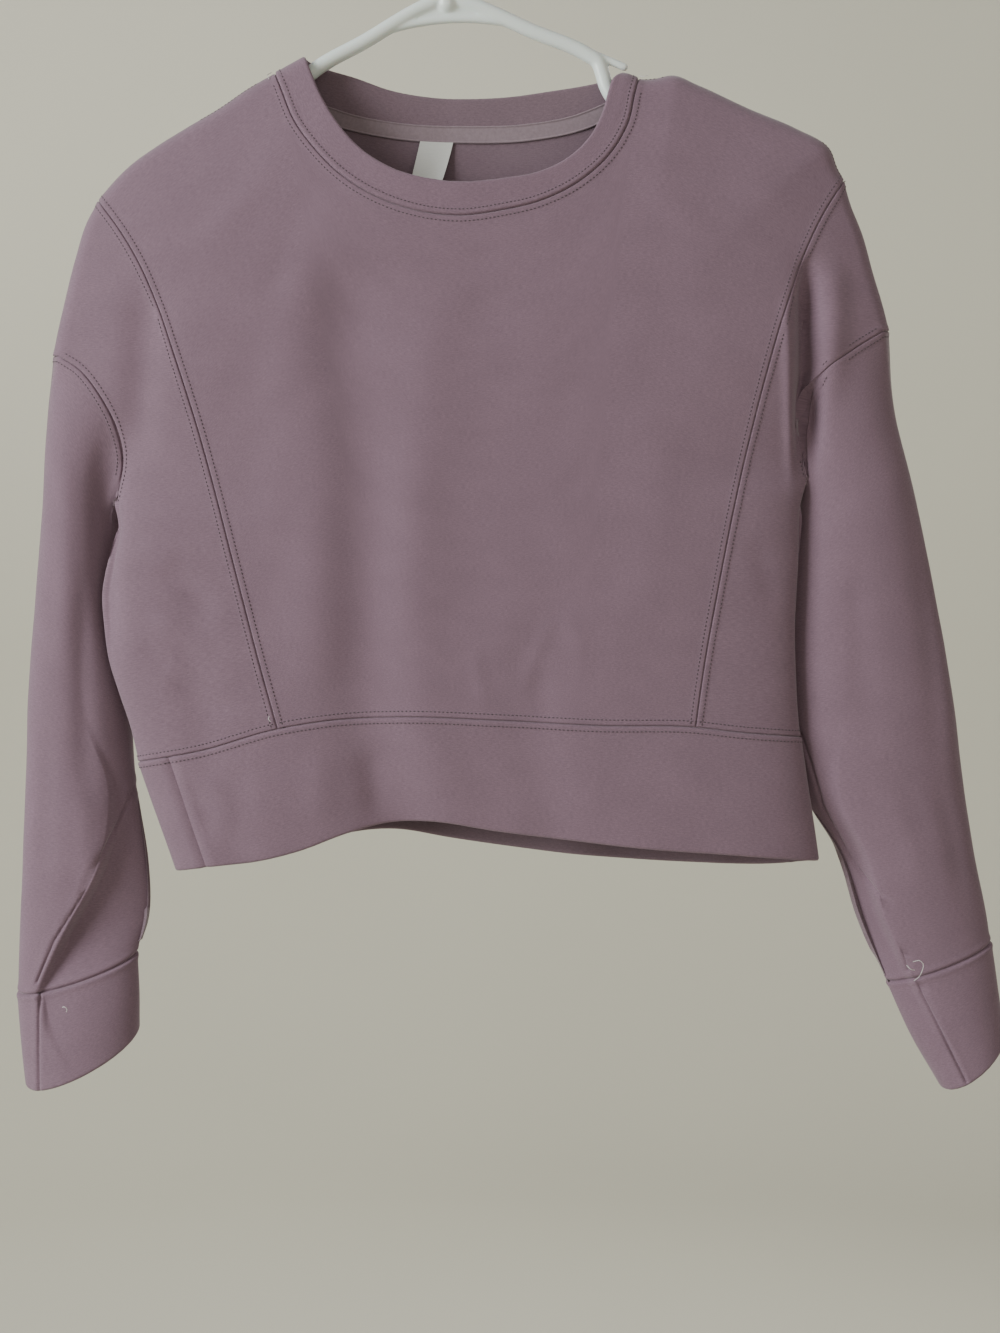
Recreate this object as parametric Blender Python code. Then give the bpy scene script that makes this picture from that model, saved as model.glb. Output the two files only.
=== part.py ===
"""Cropped sweatshirt hanging on a tubular hanger.

The origin is where the hook hangs on its rail. +Z is up, the front faces -Y, and left is -X as seen
from the front. Sizes and tables are in millimetres; meshes are made in metres.
"""
import math

import bmesh
import bpy
import numpy as np
from mathutils import Vector
from mathutils.kdtree import KDTree

MM = 0.001

# Cloth
WALL = 1.8              # one layer of brushed knit
DOUBLE_WALL = 3.0       # folded strips: neckband, hem bands and cuffs
PROUD = 0.6             # a folded strip's outer face stands this far over a single layer
SEAM_GAP = 0.36         # 0.3 is left between the facets
LEAST_LEVEL = 0.35      # limits how far an edge is drawn back where it meets the wall at a slant
TAPE_WALL = 1.0
TAPE_GAP = 0.3          # between the neck tape and the cloth behind it
LABEL_SIZE = (20.0, 27.0, 1.0)   # width, drop, thickness
LABEL_CENTRE_X = -2.0
LABEL_TURN = -3.0       # sideways slant of its lower edge
LABEL_LEAN = 5.0        # how far its lower edge swings to the front
LABEL_CURL = 0.25       # how far its side edges stand forward

# How the hung cloth fills out
FOLD_RADIUS = 8.0       # over the hanger's arms and round every outer fold
FRONT_DEPTH = 24.0
BACK_DEPTH = 16.0
DEPTH_REACH = 120.0     # from the outline to where the full depth is reached
UNDERARM_OPENING = 6.0  # half the width of the underarm point, front to back
UNDERARM_CLOSE = 25.0   # how far under it the opening ends
UNDERARM_RADIUS = 10.0  # within it the armhole seam is a sharp fold
FOLD_INSET = 2.5        # first column beside a fold

# Hanger, in its own upright frame; it hangs tilted
HANGER_TILT = math.radians(3.4)
TUBE_RADIUS = 4.5
ARM_PEAK_Z = -96.0
ARM_SLOPE = 0.502
WEB_HALF_WIDTH = 52.0
WEB_THICKNESS = 3.2
WEB_LOWER_Z = -111.0
WEB_DROP = 9.0          # its lower edge falls this far towards its ends
WEB_TOP = (8.0, -98.0)  # half width, z
PEG_RADIUS = 2.4
PEG_LIFT = 2.2          # its top runs on from the arm's
PEG_SPAN = (80.0, 104.0)
NOTCH = ((88, -141.5), (90.5, -149), (92.5, -157), (97, -165), (104, -169), (112, -170),
         (121, -168.5), (130, -166))   # strap notch: x, z
NOTCH_SPAN = (83, 140)
ARM_BEND = (150.0, 300.0)   # from this x the arm bends down, with this radius
ARM_END_X = 187.0
END_TURN_RADIUS = 10.0
BOSS = (6.0, -102.0, -82.0)   # radius, foot and top of the block that takes the hook
HOOK_RADIUS = 3.6
HOOK_INNER_RADIUS = 20.0
HOOK_FOOT_Z = -81.7
HOOK_NECK = ((0, -66), (1.5, -58))    # x, z
HOOK_SWEEP = (-62, 205)     # degrees
TUBE_SIDES_RESOLUTION = 2

# Ridge over the hanger's arm, from the neck out to the top of the side panel: x, z
RIDGE = {
    "left": ((-79, -134), (-97, -144), (-113, -153), (-129, -164), (-149, -176), (-168, -188),
             (-185, -200.5), (-197, -213), (-203, -220)),
    "right": ((110, -143.5), (115, -144), (121, -147), (131, -147), (141, -145), (156, -151),
              (186, -165), (215, -177), (236, -190), (240, -201), (244, -208)),
}
VIRTUAL_PEAK = (5, -88)  # where the two ridges would meet over the open neck

# Outer fold of the dropped shoulder and sleeve: x, z
OUTER_FOLD = {
    "left": ((-203, -220), (-211, -235), (-217, -255), (-223, -280), (-230, -313), (-234, -350),
             (-237, -400), (-241, -450)),
    "right": ((244, -208), (248, -222), (255, -240), (261, -262), (271, -298), (274, -340),
              (286, -380), (293, -430)),
}

# Curved seam between a centre panel and a side panel: x, z
PANEL_SEAM = {
    "left": ((-203, -220), (-188, -240), (-176, -260), (-165, -285), (-155, -313), (-143, -350),
             (-129, -400), (-116, -450), (-103, -500), (-93, -536)),
    "right": ((244, -208), (230, -230), (218, -255), (209, -280), (203, -298), (194, -330),
              (184, -370), (177, -400), (167, -450), (158, -500), (153, -535)),
}

# Armhole seam, down to the underarm: x, z. The body laps a little over the front of the sleeve.
ARMHOLE = {
    "left": {
        "front": ((-227.5, -313), (-212, -323), (-200, -338), (-191, -356), (-187, -377), (-192, -400)),
        "back": ((-227.5, -313), (-210, -322), (-196, -336), (-186, -354), (-180, -376), (-181, -400)),
    },
    "right": {
        "front": ((268.5, -298), (246, -312), (231, -323), (223, -336), (219, -356), (221, -387)),
        "back": ((268.5, -298), (245, -311), (229, -322), (219, -335), (213, -356), (212, -387)),
    },
}
ARMHOLE_TOP = {"left": -313, "right": -298}
UNDERARM = {"left": (-187, -400), "right": (217, -387)}

# Body's side fold under the arm: x, z, y
SIDE_FOLD = {
    "left": ((-187, -400, 0), (-189, -415, -7), (-195, -435, -9), (-199, -455, -9), (-198, -475, -9),
             (-195, -496, -9), (-189, -516, -8), (-183, -534, -7), (-178, -556, -6)),
    "right": ((217, -387, 0), (217, -402, -6), (216, -435, -7), (214, -480, -6), (215, -519, -5),
              (217, -541, -4)),
}

# Seam between the panels and the hem bands: x, z
HEM_SEAM = {
    "front": ((-178, -556), (-139, -549), (-93, -536), (-62, -531), (-21, -529), (38, -531),
              (97, -534), (153, -535), (179, -538), (217, -541)),
    "back": ((-178, -556), (-139, -547), (-93, -540), (20, -537), (153, -537), (217, -541)),
}

# Lower edge of the hem bands: x, z
HEM_EDGE = {
    "front": ((-155, -621), (-136, -618), (-104, -614), (-80, -608), (-53, -598), (-30, -592),
              (-4, -591), (38, -597), (80, -602), (126, -607), (168, -610), (228, -615)),
    "back": ((-155, -621), (-100, -610), (-23, -598), (7, -603), (74, -612), (159, -618),
             (205, -618), (228, -615)),
}
HEM_LEAN = {"front": 7.0, "back": -2.0}   # the middle of the lower edge swings in
HEM_LEAN_X = 10.0
HEM_LEAN_WIDTH = 90.0
HEM_BULGE = 1.5

# Neck: seam to the body, and the band's free edge: x, z
NECK_SEAM = {
    "front": ((-97, -144), (-93, -154), (-84, -176), (-72, -193), (-54, -211), (-30, -225), (-7, -232),
              (14, -234), (38, -231), (62, -225), (85, -213), (103, -196), (114, -176), (118, -158),
              (121, -147)),
    "back": ((-97, -144), (-85, -156), (-60, -167), (-25, -174), (15, -176), (55, -175), (90, -168),
             (112, -157), (121, -147)),
}
NECK_EDGE = {
    "front": ((-79, -134), (-74, -147), (-70, -157), (-60, -175), (-45, -193), (-25, -206), (-4, -212),
              (14, -214), (38, -212), (62, -207), (79, -198), (92, -184), (99, -169), (102.5, -156),
              (105, -149), (110, -143.5)),
    "back": ((-79, -134), (-68, -138), (-50, -143), (-29, -150), (-5, -154), (20, -155), (44, -154),
             (68, -151), (89, -148), (102, -145.5), (110, -143.5)),
}

# Soft folds of the hung body: top x, top z, bottom x, bottom z, half width, push (+ is inwards)
FRONT_FOLDS = (
    (-52, -245, -38, -640, 20, 5.5),
    (-76, -230, -74, -470, 13, -2.5),
    (-2, -260, -12, -540, 17, -2.2),
    (70, -440, 48, -560, 14, 2.2),
    (-150, -430, -128, -640, 12, 2.0),
)
BACK_FOLDS = (
    (-70, -300, -95, -640, 20, 3.5),
    (60, -260, 75, -640, 22, 4.0),
    (150, -420, 165, -640, 14, 2.0),
)
FOLD_FADE = 60.0        # length over which a fold runs out at its ends

# Sleeve rings from the armhole down: outer fold x, z; inner fold x, z; depth to the front and back of
# the mid line; mid line's y at the outer and inner fold; place of the underarm step as a share of the
# width, its drop; how far the front hangs under the back
SLEEVE_COLUMNS = ("outer_x", "outer_z", "inner_x", "inner_z", "front", "back", "outer_y", "inner_y",
                  "step_at", "step_drop", "tilt")
SLEEVE_RINGS = {
    "left": (
        (-230, -313, -187, -400, 12, 12, 0, 0, 0.56, 0, 0),
        (-234, -350, -192, -418, 18, 17, 2, 7, 0.56, 0, 0),
        (-237, -400, -190, -450, 20, 20, 3, 12, 0.56, 0, 0),
        (-242, -460, -187, -490, 20, 22, 4, 12, 0.56, 0, 0),
        (-246, -515, -185, -535, 19, 22, 4, 11, 0.60, 0, 0),
        (-247, -560, -182, -572, 18, 21, 4, 9, 0.80, 3, 0),
        (-249, -610, -176, -615, 17, 21, 4, 7, 0.68, 8, -2),
        (-251, -655, -175, -648, 16, 19, 4, 6, 0.42, 9, -4),
        (-252, -694, -181, -671, 15, 17, 4, 5, 0.20, 3, -6),
    ),
    "right": (
        (271, -298, 218, -387, 12, 12, 0, 0, 0.56, 0, 0),
        (275, -345, 216, -410, 18, 17, 2, 6, 0.56, 0, 0),
        (288, -400, 213, -440, 21, 21, 3, 9, 0.56, 0, 0),
        (301, -466, 212, -490, 21, 23, 4, 9, 0.60, 0, 0),
        (310, -520, 214, -535, 20, 23, 4, 9, 0.70, 0, 0),
        (316, -565, 221, -575, 19, 22, 4, 8, 0.82, 2, 0),
        (323, -610, 243, -612, 18, 21, 4, 7, 0.84, 6, -2),
        (330, -645, 255, -650, 16, 19, 4, 6, 0.84, 7, -2),
        (333, -664, 271, -688, 15, 17, 4, 5, 0.80, 3, -3),
    ),
}
CUFF_RINGS = {
    "left": (
        (-252, -694, -181, -671, 15, 17, 4, 5, 0.20, 3, -6),
        (-250, -722, -180, -695, 16, 18, 4, 5, 0.30, 1, -8),
        (-247, -749, -180, -718, 17, 19, 4, 5, 0.50, 0, -11),
    ),
    "right": (
        (333, -664, 271, -688, 15, 17, 4, 5, 0.80, 3, -3),
        (337, -693, 286, -721, 16, 18, 4, 5, 0.70, 1, -5),
        (341, -722, 303, -751, 17, 19, 4, 5, 0.56, 0, -7),
    ),
}
SLEEVE_BLEND = 1.6      # in rings: how far down the armhole's own shape is felt
STEP_SPREAD = (0.03, 0.05)   # shares of the width that the underarm step takes to each side

# Grid of every piece
EDGE_ROWS = (3.0, 7.5)  # first rows of a centre panel, at these distances from its top edge
SHOULDER_ROWS = (0.0, 0.035, 0.09, 0.26, 0.6, 1.0)   # share of the way from the top to the armhole
ARMHOLE_ROWS = 6
SIDE_ROWS = (0.12, 0.3, 0.5, 0.7, 0.86, 1.0)         # share of the way from the underarm to the hem
SIDE_COLUMNS = (0.0, 0.3, 0.55, 0.75, 0.9, 1.0)      # share of the way from panel seam to side fold
SHOULDER_COLUMNS = (1.0, 0.74, 0.5, 0.25, 0.0)       # share of the way from the neck to the ridge's end
FRONT_NECK_COLUMNS = (0.0, 0.02, 0.075, 0.16, 0.26, 0.37, 0.5, 0.63, 0.74, 0.84, 0.925, 0.98, 1.0)
BACK_NECK_COLUMNS = (0.0, 0.035, 0.12, 0.24, 0.37, 0.5, 0.63, 0.76, 0.88, 0.965, 1.0)
NECKBAND_ROWS = 3
HEM_ROWS = 3
HEM_SEAM_COLUMN = 3     # the hem bands meet at this column of a side panel
SLEEVE_RING_COUNT = 14
CUFF_RING_COUNT = 3

FACES = {"front": -1, "back": 1}
SIDES = ("left", "right")


def clear_scene():
    for item in list(bpy.data.objects):
        bpy.data.objects.remove(item, do_unlink=True)


def material(name, colour, roughness, sheen=0.0):
    mat = bpy.data.materials.new(name)
    mat.use_nodes = True
    shader = mat.node_tree.nodes["Principled BSDF"]
    shader.inputs["Base Color"].default_value = (*colour, 1.0)
    shader.inputs["Roughness"].default_value = roughness
    shader.inputs["Metallic"].default_value = 0.0
    shader.inputs["Sheen Weight"].default_value = sheen
    return mat


# ---- curves and the form of the hung cloth ----

def hermite(at, knots, values):
    """Smooth curve through a table's column; knots rise."""
    at = np.asarray(at, float)
    knots = np.asarray(knots, float)
    values = np.asarray(values, float)
    slopes = np.gradient(values, knots)
    i = np.clip(np.searchsorted(knots, at) - 1, 0, len(knots) - 2)
    step = knots[i + 1] - knots[i]
    t = np.clip((at - knots[i]) / step, 0.0, 1.0)
    ends = values[i] * (1 + 2 * t) * (1 - t) ** 2 + values[i + 1] * t * t * (3 - 2 * t)
    return ends + step * (slopes[i] * t * (1 - t) ** 2 - slopes[i + 1] * t * t * (1 - t))


def along(table, shares):
    """Points at shares of the length of the smooth line through a table."""
    points = np.asarray(table, float)
    run = np.concatenate(([0.0], np.cumsum(np.linalg.norm(np.diff(points, axis=0), axis=1))))
    at = np.asarray(shares, float) * run[-1]
    return np.stack([hermite(at, run, column) for column in points.T], axis=-1)


def at_height(table, z, column=0):
    """A column of a table, read at height z; the table's z falls."""
    table = np.asarray(table, float)
    return hermite(-np.asarray(z, float), -table[:, 1], table[:, column])


def ease(share):
    share = np.clip(share, 0.0, 1.0)
    return share * share * (3 - 2 * share)


def outline():
    """The garment's silhouette above the underarm, over the open neck too."""
    shares = np.linspace(0, 1, 60)
    left = [along(OUTER_FOLD["left"], shares)[::-1], along(RIDGE["left"], shares)[::-1]]
    right = [along(RIDGE["right"], shares), along(OUTER_FOLD["right"], shares)]
    return np.concatenate([*left, [VIRTUAL_PEAK], *right])


OUTLINE = outline()


def distance_to_outline(x, z):
    points = np.stack([x, z], axis=-1)[..., None, :]
    start = OUTLINE[:-1]
    run = OUTLINE[1:] - start
    length = np.maximum((run * run).sum(-1), 1e-9)
    share = np.clip(((points - start) * run).sum(-1) / length, 0.0, 1.0)
    return np.linalg.norm(points - start - share[..., None] * run, axis=-1).min(-1)


def fold_relief(x, z, folds):
    """How far the soft folds push the cloth in at (x, z)."""
    push = np.zeros_like(x)
    for top_x, top_z, bottom_x, bottom_z, half_width, depth in folds:
        share = (top_z - z) / (top_z - bottom_z)
        centre = top_x + (bottom_x - top_x) * np.clip(share, 0.0, 1.0)
        fade = ease((top_z - z) / FOLD_FADE) * ease((z - bottom_z) / FOLD_FADE + 1.0)
        push = push + depth * fade * np.exp(-((x - centre) / half_width) ** 2)
    return push


def body_edge(side, face, z, column=0):
    """Armhole seam and side fold read as one line: x, or y with column 2."""
    armhole = [(x, zed, 0) for x, zed in ARMHOLE[side][face]]
    return at_height(armhole + list(SIDE_FOLD[side][1:]), z, column)


def cloth_y(x, z, face):
    """Depth of the body cloth at (x, z) on its front or back."""
    x = np.asarray(x, float)
    z = np.asarray(z, float)
    sign = FACES[face]
    full = FRONT_DEPTH if face == "front" else BACK_DEPTH
    distance = distance_to_outline(x, z)
    near = np.clip(distance / FOLD_RADIUS, 0.0, 1.0)
    far = np.clip(distance / DEPTH_REACH, 0.0, 1.0)
    pillow = FOLD_RADIUS * np.sqrt(near * (2 - near)) + (full - FOLD_RADIUS) * far * (2 - far)
    edges = {side: body_edge(side, face, z) for side in SIDES}
    centre = (edges["left"] + edges["right"]) / 2
    is_left = x < centre
    edge = np.where(is_left, edges["left"], edges["right"])
    edge_y = np.where(is_left, body_edge("left", face, z, 2), body_edge("right", face, z, 2))
    top = np.where(is_left, ARMHOLE_TOP["left"], ARMHOLE_TOP["right"])
    underarm = np.where(is_left, UNDERARM["left"][1], UNDERARM["right"][1])
    gathered = ease((top - z) / (top - underarm))
    reach = np.clip(np.abs(x - centre) / np.abs(edge - centre), 0.0, 1.0)
    opening = UNDERARM_OPENING * (1 - ease((underarm - z) / UNDERARM_CLOSE))
    tube = opening + (full - opening) * (1 - reach ** 4) ** (0.9 - 0.4 * gathered)
    folds = FRONT_FOLDS if face == "front" else BACK_FOLDS
    inward = fold_relief(x, z, folds) * np.clip(pillow / full, 0.0, 1.0) * (1 - reach ** 4)
    return gathered * edge_y * reach ** 4 + sign * ((1 - gathered) * pillow + gathered * tube - inward)


def on_body(points, face):
    """Lift (x, z) points to the body cloth."""
    points = np.asarray(points, float)
    return np.stack([points[..., 0], cloth_y(points[..., 0], points[..., 1], face), points[..., 1]], -1)


# ---- grids of the cut pieces, as points of their outer face ----

def panel_seam_rows(side, face):
    """Points down the curved panel seam, one for each row of the panels: x, z."""
    top = PANEL_SEAM[side][0][1]
    armhole_top = ARMHOLE_TOP[side]
    underarm = UNDERARM[side][1]
    hem_x = PANEL_SEAM[side][-1][0]
    hem = float(hermite(hem_x, *np.asarray(HEM_SEAM[face], float).T))
    upper = [top + (armhole_top - top) * share for share in SHOULDER_ROWS]
    middle = [armhole_top + (underarm - armhole_top) * i / ARMHOLE_ROWS for i in range(1, ARMHOLE_ROWS + 1)]
    lower = [underarm + (hem - underarm) * share for share in SIDE_ROWS]
    z = np.array(upper + middle + lower)
    return np.stack([at_height(PANEL_SEAM[side], z), z], -1)


def side_line_rows(side, face):
    """Points down the outer fold, the armhole seam and the side fold: x, z."""
    top = OUTER_FOLD[side][0][1]
    upper_z = np.array([top + (ARMHOLE_TOP[side] - top) * share for share in SHOULDER_ROWS])
    upper = np.stack([at_height(OUTER_FOLD[side], upper_z), upper_z], -1)
    middle = along(ARMHOLE[side][face], np.arange(1, ARMHOLE_ROWS + 1) / ARMHOLE_ROWS)
    underarm = UNDERARM[side][1]
    lower_z = np.array([underarm + (SIDE_FOLD[side][-1][1] - underarm) * share for share in SIDE_ROWS])
    lower = np.stack([at_height(SIDE_FOLD[side], lower_z), lower_z], -1)
    return np.concatenate([upper, middle, lower])


def side_panel(side):
    """Rows from the front panel seam round the side to the back panel seam."""
    inwards = 1 if side == "left" else -1
    first_open = len(SHOULDER_ROWS)
    last_open = first_open + ARMHOLE_ROWS - 1
    inset = np.full(last_open + 1 + len(SIDE_ROWS), inwards * FOLD_INSET)
    inset[0] = 0.0
    inset[1] *= 0.5
    inset[first_open:last_open + 1] = 0.0
    shares = np.array(SIDE_COLUMNS)[None, :, None]
    halves = {}
    for face in FACES:
        line = side_line_rows(side, face)
        seam = panel_seam_rows(side, face)
        beside = line + np.stack([inset, np.zeros(len(line))], -1)
        flat = seam[:, None, :] * (1 - shares) + beside[:, None, :] * shares
        to_hem = hermite(flat[-1, :, 0], *np.asarray(HEM_SEAM[face], float).T) - flat[-1, :, 1]
        for row, share in enumerate(SIDE_ROWS, last_open + 1):
            flat[row, :, 1] += share ** 3 * to_hem
        halves[face] = on_body(flat, face)
        halves[face][0, :, :] = (line[0, 0], 0.0, line[0, 1])
    line[last_open] = UNDERARM[side]
    below = line[:, 1] < UNDERARM[side][1]
    middle_y = np.where(below, at_height(SIDE_FOLD[side], line[:, 1], 2), 0.0)
    middle = np.stack([line[:, 0], middle_y, line[:, 1]], -1)[:, None, :]
    return np.concatenate([halves["front"], middle, halves["back"][:, ::-1]], axis=1)


def offset_rows(top, distances):
    """Lines at set distances under a panel's top edge, square to it."""
    run = np.diff(top, axis=0)
    square = np.stack([run[:, 1], -run[:, 0]], -1) / np.linalg.norm(run, axis=1)[:, None]
    at_point = np.concatenate([square[:1], square[:-1] + square[1:], square[-1:]])
    at_point[1:-1] /= 1 + (square[:-1] * square[1:]).sum(1)[:, None]
    return [top + at_point * distance for distance in distances]


def centre_panel(face, neck_columns):
    """Front or back panel, blended between its four edges."""
    shoulder = {}
    for side, neck_point in (("left", 1), ("right", 2)):
        lengths = np.linalg.norm(np.diff(np.asarray(RIDGE[side], float), axis=0), axis=1)
        start = lengths[:neck_point].sum() / lengths.sum()
        shoulder[side] = along(RIDGE[side], [start + (1 - start) * share for share in SHOULDER_COLUMNS])
    neck = along(NECK_SEAM[face], neck_columns)
    top = np.concatenate([shoulder["left"][:-1], neck, shoulder["right"][::-1][1:]])
    edges = {side: panel_seam_rows(side, face) for side in SIDES}
    first = [top, *offset_rows(top, EDGE_ROWS)]
    for row, line in enumerate(first):
        line[0] = edges["left"][row]
        line[-1] = edges["right"][row]
    start = len(first) - 1
    left, right = edges["left"][start:], edges["right"][start:]
    across = (top[:, 0] - top[0, 0]) / (top[-1, 0] - top[0, 0])
    hem_x = left[-1, 0] + across * (right[-1, 0] - left[-1, 0])
    bottom = np.stack([hem_x, hermite(hem_x, *np.asarray(HEM_SEAM[face], float).T)], -1)
    falls = [(edge[:, 1] - edge[0, 1]) / (edge[-1, 1] - edge[0, 1]) for edge in (left, right)]
    down = ((falls[0] + falls[1]) / 2)[:, None, None]
    u = across[None, :, None]
    ruled = (1 - down) * first[-1] + down * bottom
    sides = (1 - u) * left[:, None] + u * right[:, None]
    upper_corners = (1 - down) * ((1 - u) * left[0] + u * right[0])
    lower_corners = down * ((1 - u) * bottom[0] + u * bottom[-1])
    blended = ruled + sides - upper_corners - lower_corners
    grid = on_body(np.concatenate([first[:-1], blended]), face)
    last = len(top) - 1
    ridge = [i for i in range(len(top)) if i < len(SHOULDER_COLUMNS) or i > last - len(SHOULDER_COLUMNS)]
    grid[0, ridge, 1] = 0.0
    return grid


def neckband(front, back):
    """Ring of columns: the front neck seam from left to right, then the back one from right to left."""
    skip = len(SHOULDER_COLUMNS) - 1
    seams = {"front": front[0, skip:-skip], "back": back[0, skip:-skip]}
    edges = {"front": along(NECK_EDGE["front"], FRONT_NECK_COLUMNS),
             "back": along(NECK_EDGE["back"], BACK_NECK_COLUMNS)}
    rows = []
    for row in range(NECKBAND_ROWS + 1):
        share = row / NECKBAND_ROWS
        ring = []
        for face, seam in seams.items():
            edge = edges[face]
            flat = seam[:, [0, 2]] * (1 - share) + edge * share
            lifted = on_body(flat, face)
            lifted[[0, -1], 1] = 0.0
            ring.append(lifted if face == "front" else lifted[::-1])
        rows.append(np.concatenate([ring[0], ring[1][1:]]))
    return np.array(rows)


def ring_values(table, at):
    knots = np.arange(len(table))
    columns = np.asarray(table, float).T
    return {name: float(hermite(at, knots, column)) for name, column in zip(SLEEVE_COLUMNS, columns)}


def tube_ring(ring, half_columns):
    """One ring of a sleeve or cuff: outer fold, front, inner fold, back; the last point closes it."""
    turn = np.linspace(0, math.pi, half_columns + 1)
    share = (1 - np.cos(turn)) / 2
    outside = np.arange(half_columns + 1) <= half_columns // 2
    edge = share[half_columns // 2]
    after = share[half_columns // 2 + 1]
    lip = ring["step_at"] - STEP_SPREAD[0]
    foot = ring["step_at"] + STEP_SPREAD[1]
    shifted = np.where(outside, share / edge * lip, 1 - (1 - share) / (1 - after) * (1 - foot))
    points = []
    for face, sign in FACES.items():
        s = shifted if face == "front" else share
        depth = ring[face] * np.sqrt(np.clip(4 * s * (1 - s), 0.0, 1.0))
        if face == "front":
            depth = depth - np.where(outside, 0.0, ring["step_drop"] * np.sin(turn) ** 0.5)
        x = ring["outer_x"] + (ring["inner_x"] - ring["outer_x"]) * s
        z = ring["outer_z"] + (ring["inner_z"] - ring["outer_z"]) * s - sign * ring["tilt"] * np.sin(turn)
        y = ring["outer_y"] + (ring["inner_y"] - ring["outer_y"]) * s + sign * depth
        points.append(np.stack([x, y, z], -1))
    return np.concatenate([points[0], points[1][::-1][1:]])


def armhole_loop(panel):
    """The side panel's armhole edge, in the order of a sleeve ring."""
    top = len(SHOULDER_ROWS) - 1
    bottom = top + ARMHOLE_ROWS
    middle = len(SIDE_COLUMNS)
    front = panel[top:bottom + 1, middle - 1]
    back = panel[top:bottom + 1, middle + 1]
    return np.concatenate([panel[top:top + 1, middle], front, panel[bottom:bottom + 1, middle],
                           back[::-1], panel[top:top + 1, middle]])


def sleeve(side, loop):
    half = (len(loop) - 1) // 2
    table = SLEEVE_RINGS[side]
    shape = tube_ring(ring_values(table, 0.0), half)
    rows = []
    for i in range(SLEEVE_RING_COUNT + 1):
        at = (len(table) - 1) * i / SLEEVE_RING_COUNT
        own = max(0.0, 1 - at / SLEEVE_BLEND) ** 2
        rows.append(tube_ring(ring_values(table, at), half) + own * (loop - shape))
    return np.array(rows)


def cuff(side, loop):
    half = (len(loop) - 1) // 2
    table = CUFF_RINGS[side]
    rows = [loop]
    for i in range(1, CUFF_RING_COUNT + 1):
        rows.append(tube_ring(ring_values(table, (len(table) - 1) * i / CUFF_RING_COUNT), half))
    return np.array(rows)


def hem_ring(front, back, left, right):
    """The body's lower edge: from the left side fold along the front, the right side and the back."""
    middle = len(SIDE_COLUMNS)
    return np.concatenate([left[-1, middle::-1], front[-1, 1:], right[-1, 1:], back[-1, ::-1][1:],
                           left[-1, ::-1][1:middle + 1]])


def hem_band(top):
    """A band hung from a stretch of the hem ring."""
    left_top, right_top = SIDE_FOLD["left"][-1][0], SIDE_FOLD["right"][-1][0]
    left_low, right_low = HEM_EDGE["front"][0][0], HEM_EDGE["front"][-1][0]
    rows = [top]
    across = np.clip((top[:, 0] - left_top) / (right_top - left_top), 0.0, 1.0)
    low_x = left_low + across * (right_low - left_low)
    middle_y = SIDE_FOLD["left"][-1][2] * (1 - across) + SIDE_FOLD["right"][-1][2] * across
    is_front = top[:, 1] < middle_y + 0.01
    low_z = np.where(is_front, hermite(low_x, *np.asarray(HEM_EDGE["front"], float).T),
                     hermite(low_x, *np.asarray(HEM_EDGE["back"], float).T))
    lean = np.where(is_front, HEM_LEAN["front"], HEM_LEAN["back"])
    low_y = top[:, 1] + lean * np.exp(-((low_x - HEM_LEAN_X) / HEM_LEAN_WIDTH) ** 2)
    low = np.stack([low_x, low_y, low_z], -1)
    thickness = np.clip(np.abs(top[:, 1] - middle_y) / BACK_DEPTH, 0.0, 1.0)
    for row in range(1, HEM_ROWS + 1):
        share = row / HEM_ROWS
        points = top * (1 - share) + low * share
        outwards = np.where(is_front, -1.0, 1.0)
        points[:, 1] += outwards * thickness * HEM_BULGE * math.sin(math.pi * share * 0.8)
        rows.append(points)
    return np.array(rows)


# ---- from grids to cloth walls ----

def sheet(points, hole=None):
    """A grid of points as one open mesh; hole is the rows and columns left out."""
    rows, columns = points.shape[0] - 1, points.shape[1] - 1
    bm = bmesh.new()
    bmesh.ops.create_grid(bm, x_segments=columns, y_segments=rows, size=1.0)
    bm.verts.ensure_lookup_table()
    bm.faces.ensure_lookup_table()
    for vert, point in zip(bm.verts, points.reshape(-1, 3)):
        vert.co = Vector(point)
    if hole:
        (row_from, row_to), (column_from, column_to) = hole
        open_faces = []
        for row in range(row_from, row_to):
            open_faces += [bm.faces[row * columns + column] for column in range(column_from, column_to)]
        bmesh.ops.delete(bm, geom=open_faces, context="FACES")
    bmesh.ops.remove_doubles(bm, verts=bm.verts, dist=0.001)
    bmesh.ops.recalc_face_normals(bm, faces=bm.faces)
    return bm


def under_arm(place):
    points = (Vector((x, 0.0, z)) for x, z in UNDERARM.values())
    return min((place - point).length for point in points) < UNDERARM_RADIUS


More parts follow.
